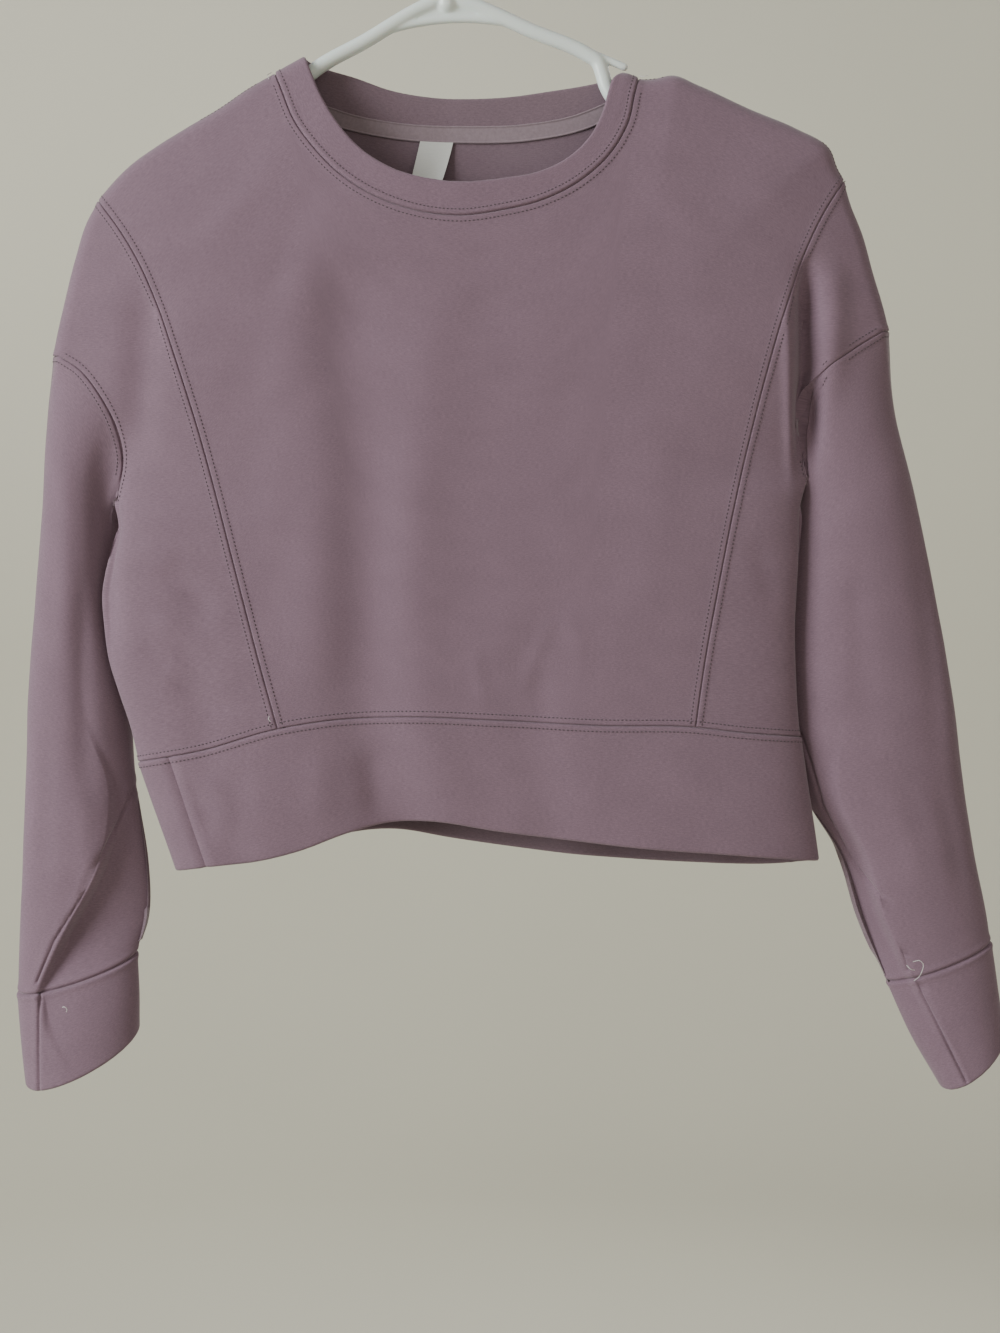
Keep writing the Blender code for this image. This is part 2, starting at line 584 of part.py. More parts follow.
def shared_normals(sheets):
    """Outward normals of the whole welded garment, so that neighbours' walls meet face to face.

    Under the arm the body and the sleeve turn away from each other, and each keeps its own normals.
    """
    whole = bmesh.new()
    for bm in sheets.values():
        mesh = bpy.data.meshes.new("form")
        bm.to_mesh(mesh)
        whole.from_mesh(mesh)
        bpy.data.meshes.remove(mesh)
    bmesh.ops.remove_doubles(whole, verts=whole.verts, dist=0.01)
    bmesh.ops.recalc_face_normals(whole, faces=whole.faces)
    whole.normal_update()
    highest = max(whole.faces, key=lambda face: face.calc_center_median().z)
    outwards = 1.0 if highest.normal.z > 0 else -1.0
    tree = KDTree(len(whole.verts))
    for vert in whole.verts:
        tree.insert(vert.co, vert.index)
    tree.balance()
    whole.verts.ensure_lookup_table()
    normals = {}
    for name, bm in sheets.items():
        welded = [whole.verts[tree.find(vert.co)[1]].normal * outwards for vert in bm.verts]
        bm.normal_update()
        turned = 1.0 if sum(vert.normal.dot(normal) for vert, normal in zip(bm.verts, welded)) > 0 else -1.0
        normals[name] = [vert.normal * turned if under_arm(vert.co) else normal
                         for vert, normal in zip(bm.verts, welded)]
    whole.free()
    return normals


def trim_edges(bm, normals, gap):
    """Draw every edge of a sheet back by half a seam gap, measured across the wall."""
    moves = {}
    for vert in bm.verts:
        rims = [edge for edge in vert.link_edges if edge.is_boundary]
        if len(rims) != 2:
            continue
        inwards = []
        for edge in rims:
            run = (edge.verts[1].co - edge.verts[0].co).normalized()
            middle = (edge.verts[0].co + edge.verts[1].co) / 2
            toward = edge.link_faces[0].calc_center_median() - middle
            inwards.append((toward - run * toward.dot(run)).normalized())
        mitre = (inwards[0] + inwards[1]) / max(1 + inwards[0].dot(inwards[1]), 0.5)
        normal = normals[vert.index]
        level = (mitre - normal * mitre.dot(normal)).length
        moves[vert] = mitre * (gap / 2) / max(level, LEAST_LEVEL)
        if under_arm(vert.co):
            moves[vert] -= normal * (gap / 2)
    for vert, move in moves.items():
        vert.co += move


def cloth_wall(name, bm, normals, mat, wall, proud=0.0, gap=SEAM_GAP):
    """Give a sheet its thickness, inwards from the garment's outer face."""
    inward = bm.verts.layers.float_vector.new("inward")
    bm.verts.index_update()
    trim_edges(bm, normals, gap)
    for vert in bm.verts:
        normal = normals[vert.index]
        vert.co += normal * proud
        vert[inward] = -normal * wall
    made = bmesh.ops.extrude_face_region(bm, geom=bm.faces[:], use_keep_orig=True)["geom"]
    for item in made:
        if isinstance(item, bmesh.types.BMVert):
            item.co += item[inward]
    bmesh.ops.recalc_face_normals(bm, faces=bm.faces)
    return finish_mesh(name, bm, mat)


def finish_mesh(name, bm, mat, smooth_angle=40):
    bmesh.ops.triangulate(bm, faces=bm.faces)
    bmesh.ops.scale(bm, vec=(MM, MM, MM), verts=bm.verts)
    mesh = bpy.data.meshes.new(name)
    bm.to_mesh(mesh)
    bm.free()
    mesh.shade_smooth()
    mesh.set_sharp_from_angle(angle=math.radians(smooth_angle))
    mesh.materials.append(mat)
    item = bpy.data.objects.new(name, mesh)
    bpy.context.scene.collection.objects.link(item)
    return item


def neck_tape(back, normals_at, mat):
    """A tape on the inside of the back neck seam, made from the back panel's first rows."""
    skip = len(SHOULDER_COLUMNS) - 1
    points = back[:3, skip + 2:skip + len(BACK_NECK_COLUMNS) - 2]
    bm = sheet(points)
    normals = [normals_at(vert.co) for vert in bm.verts]
    shift = -(DOUBLE_WALL - PROUD + TAPE_GAP)
    return cloth_wall("neck_tape", bm, normals, mat, TAPE_WALL, proud=shift, gap=0.0)


def label(back, mat):
    """A bare label that hangs from the tape's lower edge, inside the back."""
    width, drop, thickness = LABEL_SIZE
    columns = np.linspace(-0.5, 0.5, 4) * width
    rows = np.linspace(0, 1, 5)
    middle = back.shape[1] // 2
    top_z = back[2, middle, 2] - SEAM_GAP * 2
    grid = []
    for share in rows:
        x = LABEL_CENTRE_X + columns + LABEL_TURN * share
        z = np.full(4, top_z - drop * share)
        behind = cloth_y(x, z, "back") - WALL - TAPE_GAP * 3
        y = behind - LABEL_LEAN * share ** 1.5 - LABEL_CURL * (2 * columns / width) ** 2
        grid.append(np.stack([x, y, z], -1))
    bm = sheet(np.array(grid))
    normals = [Vector((0.0, 1.0, 0.0))] * len(bm.verts)
    return cloth_wall("neck_label", bm, normals, mat, thickness, gap=0.0)


# ---- hanger ----

def arm_z(x):
    """Height of the tube's centre line along the straight arm."""
    return ARM_PEAK_Z - ARM_SLOPE * x


def tilted(points):
    """From the hanger's own frame to the world."""
    c, s = math.cos(HANGER_TILT), math.sin(HANGER_TILT)
    return [(x * c - z * s, y, x * s + z * c) for x, y, z in points]


def half_frame_path():
    """Right half of the tube's loop: x, z from the peak to the middle of the lower bar."""
    start, end = NOTCH_SPAN
    arm = [(0, arm_z(4)), (12, arm_z(12)), (50, arm_z(50)), (start, arm_z(start))]
    bend_from, bend_radius = ARM_BEND
    outer = [(end, arm_z(end))]
    for x in np.linspace(bend_from, ARM_END_X, 4):
        outer.append((x, arm_z(x) - (x - bend_from) ** 2 / bend_radius))
    centre_z = outer[-1][1] - END_TURN_RADIUS
    turn = []
    for i in range(1, 7):
        angle = math.radians(90 - 180 * i / 6)
        turn.append((ARM_END_X + END_TURN_RADIUS * math.cos(angle),
                     centre_z + END_TURN_RADIUS * math.sin(angle)))
    bar = [(100, centre_z - END_TURN_RADIUS)]
    return arm + list(NOTCH) + outer + turn + bar


def tube(name, path, radius, closed=False):
    curve = bpy.data.curves.new(name, "CURVE")
    curve.dimensions = "3D"
    curve.bevel_depth = radius * MM
    curve.bevel_resolution = TUBE_SIDES_RESOLUTION
    curve.use_fill_caps = not closed
    spline = curve.splines.new("POLY")
    spline.points.add(len(path) - 1)
    for point, place in zip(spline.points, path):
        point.co = (*(Vector(place) * MM), 1.0)
    spline.use_cyclic_u = closed
    item = bpy.data.objects.new(name, curve)
    bpy.context.scene.collection.objects.link(item)
    mesh = bpy.data.meshes.new_from_object(item)
    bpy.data.objects.remove(item)
    solid = bpy.data.objects.new(name, mesh)
    bpy.context.scene.collection.objects.link(solid)
    mesh.shade_smooth()
    return solid


def hanger_web(mat):
    """The flat plate between the arms under the hook."""
    shares = np.linspace(-1, 1, 9)
    lower = [(WEB_HALF_WIDTH * share, WEB_LOWER_Z - WEB_DROP * share ** 2) for share in shares]
    top_x, top_z = WEB_TOP
    outline_points = lower + [(top_x, top_z), (-top_x, top_z)]
    bm = bmesh.new()
    flat = tilted([(x, -WEB_THICKNESS / 2, z) for x, z in outline_points])
    face = bm.faces.new([bm.verts.new(point) for point in flat])
    pushed = bmesh.ops.extrude_face_region(bm, geom=[face], use_keep_orig=True)["geom"]
    bmesh.ops.translate(bm, vec=(0, WEB_THICKNESS, 0),
                        verts=[item for item in pushed if isinstance(item, bmesh.types.BMVert)])
    bmesh.ops.recalc_face_normals(bm, faces=bm.faces)
    return finish_mesh("web_guide", bm, mat)


def unite(target, others):
    for other in others:
        other.hide_render = True
        other.display_type = "WIRE"
        union = target.modifiers.new("join_" + other.name, "BOOLEAN")
        union.operation = "UNION"
        union.solver = "EXACT"
        union.object = other


def hanger(mat):
    right = half_frame_path()
    loop = right + [(-x, z) for x, z in right[::-1][:-1]]
    frame = tube("hanger", tilted([(x, 0, z) for x, z in loop]), TUBE_RADIUS, closed=True)
    frame.data.materials.append(mat)
    pegs = []
    for side, sign in (("left", -1), ("right", 1)):
        line = [(sign * x, 0, arm_z(x) + PEG_LIFT) for x in PEG_SPAN]
        pegs.append(tube("peg_guide_" + side, tilted(line), PEG_RADIUS))
    boss_radius, boss_foot, boss_top = BOSS
    boss = tube("boss_guide", tilted([(0, 0, boss_foot), (0, 0, boss_top)]), boss_radius)
    unite(frame, [hanger_web(mat), boss] + pegs)
    return frame


def hook(mat):
    """A plain hook whose inner top is the origin."""
    centre_z = -HOOK_INNER_RADIUS
    radius = HOOK_INNER_RADIUS + HOOK_RADIUS
    path = [(0, 0, HOOK_FOOT_Z)] + [(x, 0, z) for x, z in HOOK_NECK]
    start, end = HOOK_SWEEP
    for i in range(15):
        angle = math.radians(start + (end - start) * i / 14)
        path.append((radius * math.cos(angle), 0, centre_z + radius * math.sin(angle)))
    item = tube("hanger_hook", tilted(path), HOOK_RADIUS)
    item.data.materials.append(mat)
    return item


def build():
    clear_scene()
    knit = material("mauve_knit", (0.205, 0.142, 0.178), 0.9, sheen=0.3)
    tape_knit = material("tape_knit", (0.27, 0.21, 0.245), 0.85)
    satin = material("label_satin", (0.62, 0.62, 0.61), 0.5)
    plastic = material("white_plastic", (0.72, 0.75, 0.74), 0.35)

    grids = {
        "front_panel": centre_panel("front", FRONT_NECK_COLUMNS),
        "back_panel": centre_panel("back", BACK_NECK_COLUMNS),
    }
    for side in SIDES:
        grids["side_panel_" + side] = side_panel(side)
        grids["sleeve_" + side] = sleeve(side, armhole_loop(grids["side_panel_" + side]))
        grids["cuff_" + side] = cuff(side, grids["sleeve_" + side][-1])
    grids["neckband"] = neckband(grids["front_panel"], grids["back_panel"])
    ring = hem_ring(grids["front_panel"], grids["back_panel"], grids["side_panel_left"],
                    grids["side_panel_right"])
    left_split = len(SIDE_COLUMNS) - HEM_SEAM_COLUMN
    right_split = 3 * len(SIDE_COLUMNS) + len(grids["front_panel"][0]) - 1 - HEM_SEAM_COLUMN
    grids["hem_band_front"] = hem_band(ring[left_split:right_split + 1])
    grids["hem_band_back"] = hem_band(np.concatenate([ring[right_split:], ring[1:left_split + 1]]))

    middle = len(SIDE_COLUMNS)
    armhole = ((len(SHOULDER_ROWS) - 1, len(SHOULDER_ROWS) - 1 + ARMHOLE_ROWS), (middle - 1, middle + 1))
    sheets = {}
    for name, points in grids.items():
        sheets[name] = sheet(points, armhole if name.startswith("side_panel") else None)
    normals = shared_normals(sheets)

    back_points = {tuple(np.round(v.co, 3)): n for v, n in zip(sheets["back_panel"].verts,
                                                               normals["back_panel"])}
    neck_tape(grids["back_panel"], lambda co: back_points[tuple(np.round(co, 3))], tape_knit)
    label(grids["back_panel"], satin)
    folded = ("neckband", "hem_band_front", "hem_band_back", "cuff_left", "cuff_right")
    for name, bm in sheets.items():
        if name in folded:
            cloth_wall(name, bm, normals[name], knit, DOUBLE_WALL, proud=PROUD)
        else:
            cloth_wall(name, bm, normals[name], knit, WALL)
    hanger(plastic)
    hook(plastic)


build()
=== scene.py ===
"""The looks of a cropped sweatshirt on its hanger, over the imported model.

The cloth is made as the maker cuts it: each piece is a grid of points on the hung form, bent into its
creases, pressed at its seams and given its thickness. Lengths and tables are in millimetres, in the
model's own frame: the origin is where the hook hangs, +Z is up and the front faces -Y.
"""
import math

import bmesh
import bpy
import numpy as np
from mathutils import Matrix, Vector, noise
from mathutils.bvhtree import BVHTree
from mathutils.kdtree import KDTree


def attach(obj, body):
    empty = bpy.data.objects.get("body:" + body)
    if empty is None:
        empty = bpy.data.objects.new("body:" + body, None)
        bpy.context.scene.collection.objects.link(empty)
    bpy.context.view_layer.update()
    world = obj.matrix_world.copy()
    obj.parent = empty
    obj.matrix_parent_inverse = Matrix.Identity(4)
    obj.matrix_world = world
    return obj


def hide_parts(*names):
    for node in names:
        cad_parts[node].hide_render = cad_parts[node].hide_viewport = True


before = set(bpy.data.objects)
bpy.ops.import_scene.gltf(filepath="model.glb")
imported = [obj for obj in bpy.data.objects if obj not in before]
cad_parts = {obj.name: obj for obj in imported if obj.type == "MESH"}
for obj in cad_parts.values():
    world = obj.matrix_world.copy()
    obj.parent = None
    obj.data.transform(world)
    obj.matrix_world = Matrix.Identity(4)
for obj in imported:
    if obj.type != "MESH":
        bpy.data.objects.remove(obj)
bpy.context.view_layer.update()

MM = 0.001
UV_NAME = "cloth"       # the cut cloth, laid flat: across and up, in metres
FACES = {"front": -1, "back": 1}
SIDES = ("left", "right")

# Cloth
WALL = 1.8              # one layer of brushed knit
DOUBLE_WALL = 3.0       # folded strips: neckband, hem bands and cuffs
PROUD = 0.6             # a folded strip's outer face stands this far over a single layer

# How the hung cloth fills out
FOLD_RADIUS = 8.0       # over the hanger's arms and round every outer fold
FRONT_DEPTH = 24.0
BACK_DEPTH = 16.0
DEPTH_REACH = 120.0     # from the outline to where the full depth is reached
UNDERARM_OPENING = 6.0  # half the width of the underarm point, front to back
UNDERARM_CLOSE = 25.0   # how far under it the opening ends
UNDERARM_RADIUS = 10.0  # within it the armhole seam is a sharp fold
EDGE_POWER = 4          # how late the cloth turns to its side edges
TUBE_POWER = 0.9        # exponent of the body's section at the armhole's top
TUBE_GATHER = 0.4       # how much lower it is at the underarm

SAME_POINT = 0.001      # points of one piece closer than this are one
SAME_SEAM = 0.01        # and points of two pieces that meet

# Ridge over the hanger's arm, from the neck out to the top of the side panel: x, z
RIDGE = {
    "left": ((-79, -134), (-97, -144), (-113, -153), (-129, -164), (-149, -176), (-168, -188),
             (-185, -200.5), (-197, -213), (-203, -220)),
    "right": ((110, -143.5), (115, -144), (121, -147), (131, -147), (141, -145), (156, -151),
              (186, -165), (215, -177), (236, -190), (240, -201), (244, -208)),
}
VIRTUAL_PEAK = (5, -88)  # where the two ridges would meet over the open neck

# Outer fold of the dropped shoulder and sleeve: x, z
OUTER_FOLD = {
    "left": ((-203, -220), (-211, -235), (-217, -255), (-223, -280), (-230, -313), (-234, -350),
             (-237, -400), (-241, -450)),
    "right": ((244, -208), (248, -222), (255, -240), (261, -262), (271, -298), (274, -340),
              (286, -380), (293, -430)),
}

# Curved seam between a centre panel and a side panel: x, z
PANEL_SEAM = {
    "left": ((-203, -220), (-188, -240), (-176, -260), (-165, -285), (-155, -313), (-143, -350),
             (-129, -400), (-116, -450), (-103, -500), (-93, -536)),
    "right": ((244, -208), (230, -230), (218, -255), (209, -280), (203, -298), (194, -330),
              (184, -370), (177, -400), (167, -450), (158, -500), (153, -535)),
}

# Armhole seam, down to the underarm: x, z. The body laps a little over the front of the sleeve.
ARMHOLE = {
    "left": {
        "front": ((-227.5, -313), (-212, -323), (-200, -338), (-191, -356), (-187, -377), (-192, -400)),
        "back": ((-227.5, -313), (-210, -322), (-196, -336), (-186, -354), (-180, -376), (-181, -400)),
    },
    "right": {
        "front": ((268.5, -298), (246, -312), (231, -323), (223, -336), (219, -356), (221, -387)),
        "back": ((268.5, -298), (245, -311), (229, -322), (219, -335), (213, -356), (212, -387)),
    },
}
ARMHOLE_TOP = {"left": -313, "right": -298}
UNDERARM = {"left": (-187, -400), "right": (217, -387)}

# Body's side fold under the arm: x, z, y
SIDE_FOLD = {
    "left": ((-187, -400, 0), (-189, -415, -7), (-195, -435, -9), (-199, -455, -9), (-198, -475, -9),
             (-195, -496, -9), (-189, -516, -8), (-183, -534, -7), (-178, -556, -6)),
    "right": ((217, -387, 0), (217, -402, -6), (216, -435, -7), (214, -480, -6), (215, -519, -5),
              (217, -541, -4)),
}

# Seam between the panels and the hem bands: x, z
HEM_SEAM = {
    "front": ((-178, -556), (-139, -549), (-93, -536), (-62, -531), (-21, -529), (38, -531),
              (97, -534), (153, -535), (179, -538), (217, -541)),
    "back": ((-178, -556), (-139, -547), (-93, -540), (20, -537), (153, -537), (217, -541)),
}

# Lower edge of the hem bands: x, z
HEM_EDGE = {
    "front": ((-155, -621), (-136, -618), (-104, -614), (-80, -608), (-53, -598), (-30, -592),
              (-4, -591), (38, -597), (80, -602), (126, -607), (168, -610), (228, -615)),
    "back": ((-155, -621), (-100, -610), (-23, -598), (7, -603), (74, -612), (159, -618),
             (205, -618), (228, -615)),
}
HEM_LEAN = {"front": 7.0, "back": -2.0}   # the middle of the lower edge swings in
HEM_LEAN_X = 10.0
HEM_LEAN_WIDTH = 90.0
HEM_BULGE = 1.5         # how far the band's middle stands out
HEM_BULGE_RUN = 0.8     # share of half a wave that the band's depth takes up

# Neck: seam to the body, and the band's free edge: x, z
NECK_SEAM = {
    "front": ((-97, -144), (-93, -154), (-84, -176), (-72, -193), (-54, -211), (-30, -225), (-7, -232),
              (14, -234), (38, -231), (62, -225), (85, -213), (103, -196), (114, -176), (118, -158),
              (121, -147)),
    "back": ((-97, -144), (-85, -156), (-60, -167), (-25, -174), (15, -176), (55, -175), (90, -168),
             (112, -157), (121, -147)),
}
NECK_EDGE = {
    "front": ((-79, -134), (-74, -147), (-70, -157), (-60, -175), (-45, -193), (-25, -206), (-4, -212),
              (14, -214), (38, -212), (62, -207), (79, -198), (92, -184), (99, -169), (102.5, -156),
              (105, -149), (110, -143.5)),
    "back": ((-79, -134), (-68, -138), (-50, -143), (-29, -150), (-5, -154), (20, -155), (44, -154),
             (68, -151), (89, -148), (102, -145.5), (110, -143.5)),
}

# Soft folds of the hung body: top x, top z, bottom x, bottom z, half width, push (+ is inwards)
FRONT_FOLDS = (
    (-52, -245, -38, -640, 24, 4.6),
    (-76, -230, -74, -470, 16, -1.8),
    (-2, -260, -12, -540, 20, -1.6),
    (70, -440, 48, -560, 18, 1.4),
    (-150, -430, -128, -640, 12, 2.0),
)
BACK_FOLDS = (
    (-70, -300, -95, -640, 20, 3.5),
    (60, -260, 75, -640, 22, 4.0),
    (150, -420, 165, -640, 14, 2.0),
)
FOLD_FADE = 60.0        # length over which a fold runs out at its ends

# Sleeve rings from the armhole down: outer fold x, z; inner fold x, z; depth to the front and back of
# the mid line; mid line's y at the outer and inner fold; place of the underarm step as a share of the
# width, its drop; how far the front hangs under the back
SLEEVE_COLUMNS = ("outer_x", "outer_z", "inner_x", "inner_z", "front", "back", "outer_y", "inner_y",
                  "step_at", "step_drop", "tilt")
SLEEVE_RINGS = {
    "left": (
        (-230, -313, -187, -400, 12, 12, 0, 0, 0.56, 0, 0),
        (-234, -350, -192, -418, 18, 17, 2, 7, 0.56, 0, 0),
        (-237, -400, -190, -450, 20, 20, 3, 12, 0.56, 0, 0),
        (-242, -460, -187, -490, 20, 22, 4, 12, 0.56, 0, 0),
        (-246, -515, -185, -535, 19, 22, 4, 11, 0.60, 0, 0),
        (-247, -560, -182, -572, 18, 21, 4, 9, 0.80, 3, 0),
        (-249, -610, -176, -615, 17, 21, 4, 7, 0.68, 8, -2),
        (-251, -655, -175, -648, 16, 19, 4, 6, 0.42, 9, -4),
        (-252, -694, -181, -671, 15, 17, 4, 5, 0.20, 3, -6),
    ),
    "right": (
        (271, -298, 218, -387, 12, 12, 0, 0, 0.56, 0, 0),
        (275, -345, 216, -410, 18, 17, 2, 6, 0.56, 0, 0),
        (288, -400, 213, -440, 21, 21, 3, 9, 0.56, 0, 0),
        (301, -466, 212, -490, 21, 23, 4, 9, 0.60, 0, 0),
        (310, -520, 214, -535, 20, 23, 4, 9, 0.70, 0, 0),
        (316, -565, 221, -575, 19, 22, 4, 8, 0.82, 2, 0),
        (323, -610, 243, -612, 18, 21, 4, 7, 0.84, 6, -2),
        (330, -645, 255, -650, 16, 19, 4, 6, 0.84, 7, -2),
        (333, -664, 271, -688, 15, 17, 4, 5, 0.80, 3, -3),
    ),
}
CUFF_RINGS = {
    "left": (
        SLEEVE_RINGS["left"][-1],
        (-250, -722, -180, -695, 16, 18, 4, 5, 0.30, 1, -8),
        (-247, -749, -180, -718, 17, 19, 4, 5, 0.50, 0, -11),
    ),
    "right": (
        SLEEVE_RINGS["right"][-1],
        (337, -693, 286, -721, 16, 18, 4, 5, 0.70, 1, -5),
        (341, -722, 303, -751, 17, 19, 4, 5, 0.56, 0, -7),
    ),
}
SLEEVE_BLEND = 1.6      # in rings: how far down the armhole's own shape is felt
STEP_SPREAD = (0.03, 0.05)   # shares of the width that the underarm step takes to each side

# How closely the grids are spaced: next to a seam, next to an outer fold, and elsewhere
NEAR_SEAM = (0.25, 0.55, 0.9, 1.4, 2.0, 2.6, 3.2, 3.8, 4.6, 5.8, 7.5)
NEAR_FOLD = (0.1, 0.4, 0.9, 1.6, 2.5, 3.7, 5.0, 6.6)
STEP = 3.0
NEAR_ROLL = (0.08, 0.3, 0.65, 1.1, 1.7, 2.6)   # next to a folded strip's free edge
SIDE_PULL = 5             # how soon a centre panel's columns forget the bend of its side seams
UNDERARM_COLUMNS = 8
STEP_COLUMNS = 8


# ---- curves and the form of the hung cloth ----

def hermite(at, knots, values):
    """Smooth curve through a table's column; knots rise."""
    at = np.asarray(at, float)
    knots = np.asarray(knots, float)
    values = np.asarray(values, float)
    slopes = np.gradient(values, knots)
    i = np.clip(np.searchsorted(knots, at) - 1, 0, len(knots) - 2)
    step = knots[i + 1] - knots[i]
    t = np.clip((at - knots[i]) / step, 0.0, 1.0)
    ends = values[i] * (1 + 2 * t) * (1 - t) ** 2 + values[i + 1] * t * t * (3 - 2 * t)
    return ends + step * (slopes[i] * t * (1 - t) ** 2 - slopes[i + 1] * t * t * (1 - t))


def run_along(points):
    """Length run from the first point to each."""
    return np.concatenate(([0.0], np.cumsum(np.linalg.norm(np.diff(points, axis=0), axis=1))))


def along(table, shares):
    """Points at shares of the length of the smooth line through a table."""
    points = np.asarray(table, float)
    run = run_along(points)
    at = np.asarray(shares, float) * run[-1]
    return np.stack([hermite(at, run, column) for column in points.T], axis=-1)


def at_height(table, z, column=0):
    """A column of a table, read at height z; the table's z falls."""
    table = np.asarray(table, float)
    return hermite(-np.asarray(z, float), -table[:, 1], table[:, column])


def z_at(table, x):
    """A table's z, read at x; the table's x rises."""
    return hermite(x, *np.asarray(table, float).T)


def ease(share):
    """Smooth rise from 0 to 1 over a share."""
    share = np.clip(share, 0.0, 1.0)
    return share * share * (3 - 2 * share)


def spaced(length, start=(), end=(), step=STEP):
    """Shares of a length: close together next to a seam or fold at either end, then even."""
    first = [0.0, *start]
    last = [length - distance for distance in reversed(end)] + [length]
    count = max(2, math.ceil((last[0] - first[-1]) / step))
    middle = np.linspace(first[-1], last[0], count + 1)[1:-1]
    return np.array([*first, *middle, *last]) / length


def outline():
    """The garment's silhouette above the underarm, over the open neck too."""
    shares = np.linspace(0, 1, 60)
    left = [along(OUTER_FOLD["left"], shares)[::-1], along(RIDGE["left"], shares)[::-1]]
    right = [along(RIDGE["right"], shares), along(OUTER_FOLD["right"], shares)]
    return np.concatenate([*left, [VIRTUAL_PEAK], *right])


OUTLINE = outline()


def distance_to_line(points, line):
    """How far each point is from a line of straight stretches."""
    start = line[:-1]
    run = line[1:] - start
    length = np.maximum((run * run).sum(-1), 1e-9)
    nearest = np.full(points.shape[:-1], np.inf)
    for begin, step, size in zip(start, run, length):
        share = np.clip(((points - begin) * step).sum(-1) / size, 0.0, 1.0)
        nearest = np.minimum(nearest, np.linalg.norm(points - begin - share[..., None] * step, axis=-1))
    return nearest


def fold_relief(x, z, folds):
    """How far the soft folds push the cloth in at (x, z)."""
    push = np.zeros_like(x)
    for top_x, top_z, bottom_x, bottom_z, half_width, depth in folds:
        share = (top_z - z) / (top_z - bottom_z)
        centre = top_x + (bottom_x - top_x) * np.clip(share, 0.0, 1.0)
        fade = ease((top_z - z) / FOLD_FADE) * ease((z - bottom_z) / FOLD_FADE + 1.0)
        push = push + depth * fade * np.exp(-((x - centre) / half_width) ** 2)
    return push


def body_edge(side, face, z, column=0):
    """Armhole seam and side fold read as one line: x, or y with column 2."""
    armhole = [(x, zed, 0) for x, zed in ARMHOLE[side][face]]
    return at_height(armhole + list(SIDE_FOLD[side][1:]), z, column)


def cloth_y(x, z, face):
    """Depth of the body cloth at (x, z) on its front or back."""
    x = np.asarray(x, float)
    z = np.asarray(z, float)
    sign = FACES[face]
    full = FRONT_DEPTH if face == "front" else BACK_DEPTH
    distance = distance_to_line(np.stack([x, z], -1), OUTLINE)
    near = np.clip(distance / FOLD_RADIUS, 0.0, 1.0)
    far = np.clip(distance / DEPTH_REACH, 0.0, 1.0)
    pillow = FOLD_RADIUS * np.sqrt(near * (2 - near)) + (full - FOLD_RADIUS) * far * (2 - far)
    edges = {side: body_edge(side, face, z) for side in SIDES}
    centre = (edges["left"] + edges["right"]) / 2
    is_left = x < centre
    edge = np.where(is_left, edges["left"], edges["right"])
    edge_y = np.where(is_left, body_edge("left", face, z, 2), body_edge("right", face, z, 2))
    top = np.where(is_left, ARMHOLE_TOP["left"], ARMHOLE_TOP["right"])
    underarm = np.where(is_left, UNDERARM["left"][1], UNDERARM["right"][1])
    gathered = ease((top - z) / (top - underarm))
    reach = np.clip(np.abs(x - centre) / np.abs(edge - centre), 0.0, 1.0)
    turned = reach ** EDGE_POWER
    opening = UNDERARM_OPENING * (1 - ease((underarm - z) / UNDERARM_CLOSE))
    tube = opening + (full - opening) * (1 - turned) ** (TUBE_POWER - TUBE_GATHER * gathered)
    folds = FRONT_FOLDS if face == "front" else BACK_FOLDS
    inward = fold_relief(x, z, folds) * np.clip(pillow / full, 0.0, 1.0) * (1 - turned)
    return gathered * edge_y * turned + sign * ((1 - gathered) * pillow + gathered * tube - inward)


def on_body(points, face):
    """Lift (x, z) points to the body cloth."""
    points = np.asarray(points, float)
    return np.stack([points[..., 0], cloth_y(points[..., 0], points[..., 1], face), points[..., 1]], -1)


# ---- grids of the cut pieces, as points of their outer face ----

SHOULDER_LENGTH = 135.0
NECK_LENGTH = 300.0
DROP_LENGTH = 93.0      # from the ridge's end to the armhole
SIDE_LENGTH = 156.0     # from the underarm to the hem
SIDE_WIDTH = 60.0       # from the panel seam to the side
SLEEVE_LENGTH = 350.0
NECKBAND_DEPTH = 20.0
CUFF_DEPTH = 58.0
HEM_DEPTH = 72.0
SIDE_STEP, NECKBAND_STEP, CUFF_STEP, HEM_STEP = 2.5, 1.5, 2.0, 2.5

SHOULDER_SHARES = spaced(SHOULDER_LENGTH, NEAR_SEAM, NEAR_SEAM)
NECK_SHARES = spaced(NECK_LENGTH, NEAR_SEAM, NEAR_SEAM)
DROP_ROWS = spaced(DROP_LENGTH, NEAR_SEAM, NEAR_SEAM)
ARMHOLE_ROWS = 44
SIDE_ROWS = spaced(SIDE_LENGTH, (), NEAR_SEAM)[1:]
SIDE_COLUMNS = spaced(SIDE_WIDTH, NEAR_SEAM, NEAR_FOLD, SIDE_STEP)
ARMHOLE_FIRST = len(DROP_ROWS) - 1      # rows of a side panel at its armhole's two ends
ARMHOLE_LAST = ARMHOLE_FIRST + ARMHOLE_ROWS
FRONT_SIDE = len(SIDE_COLUMNS) - 1      # columns of a side panel in front of its armhole and behind
BACK_SIDE = FRONT_SIDE + UNDERARM_COLUMNS


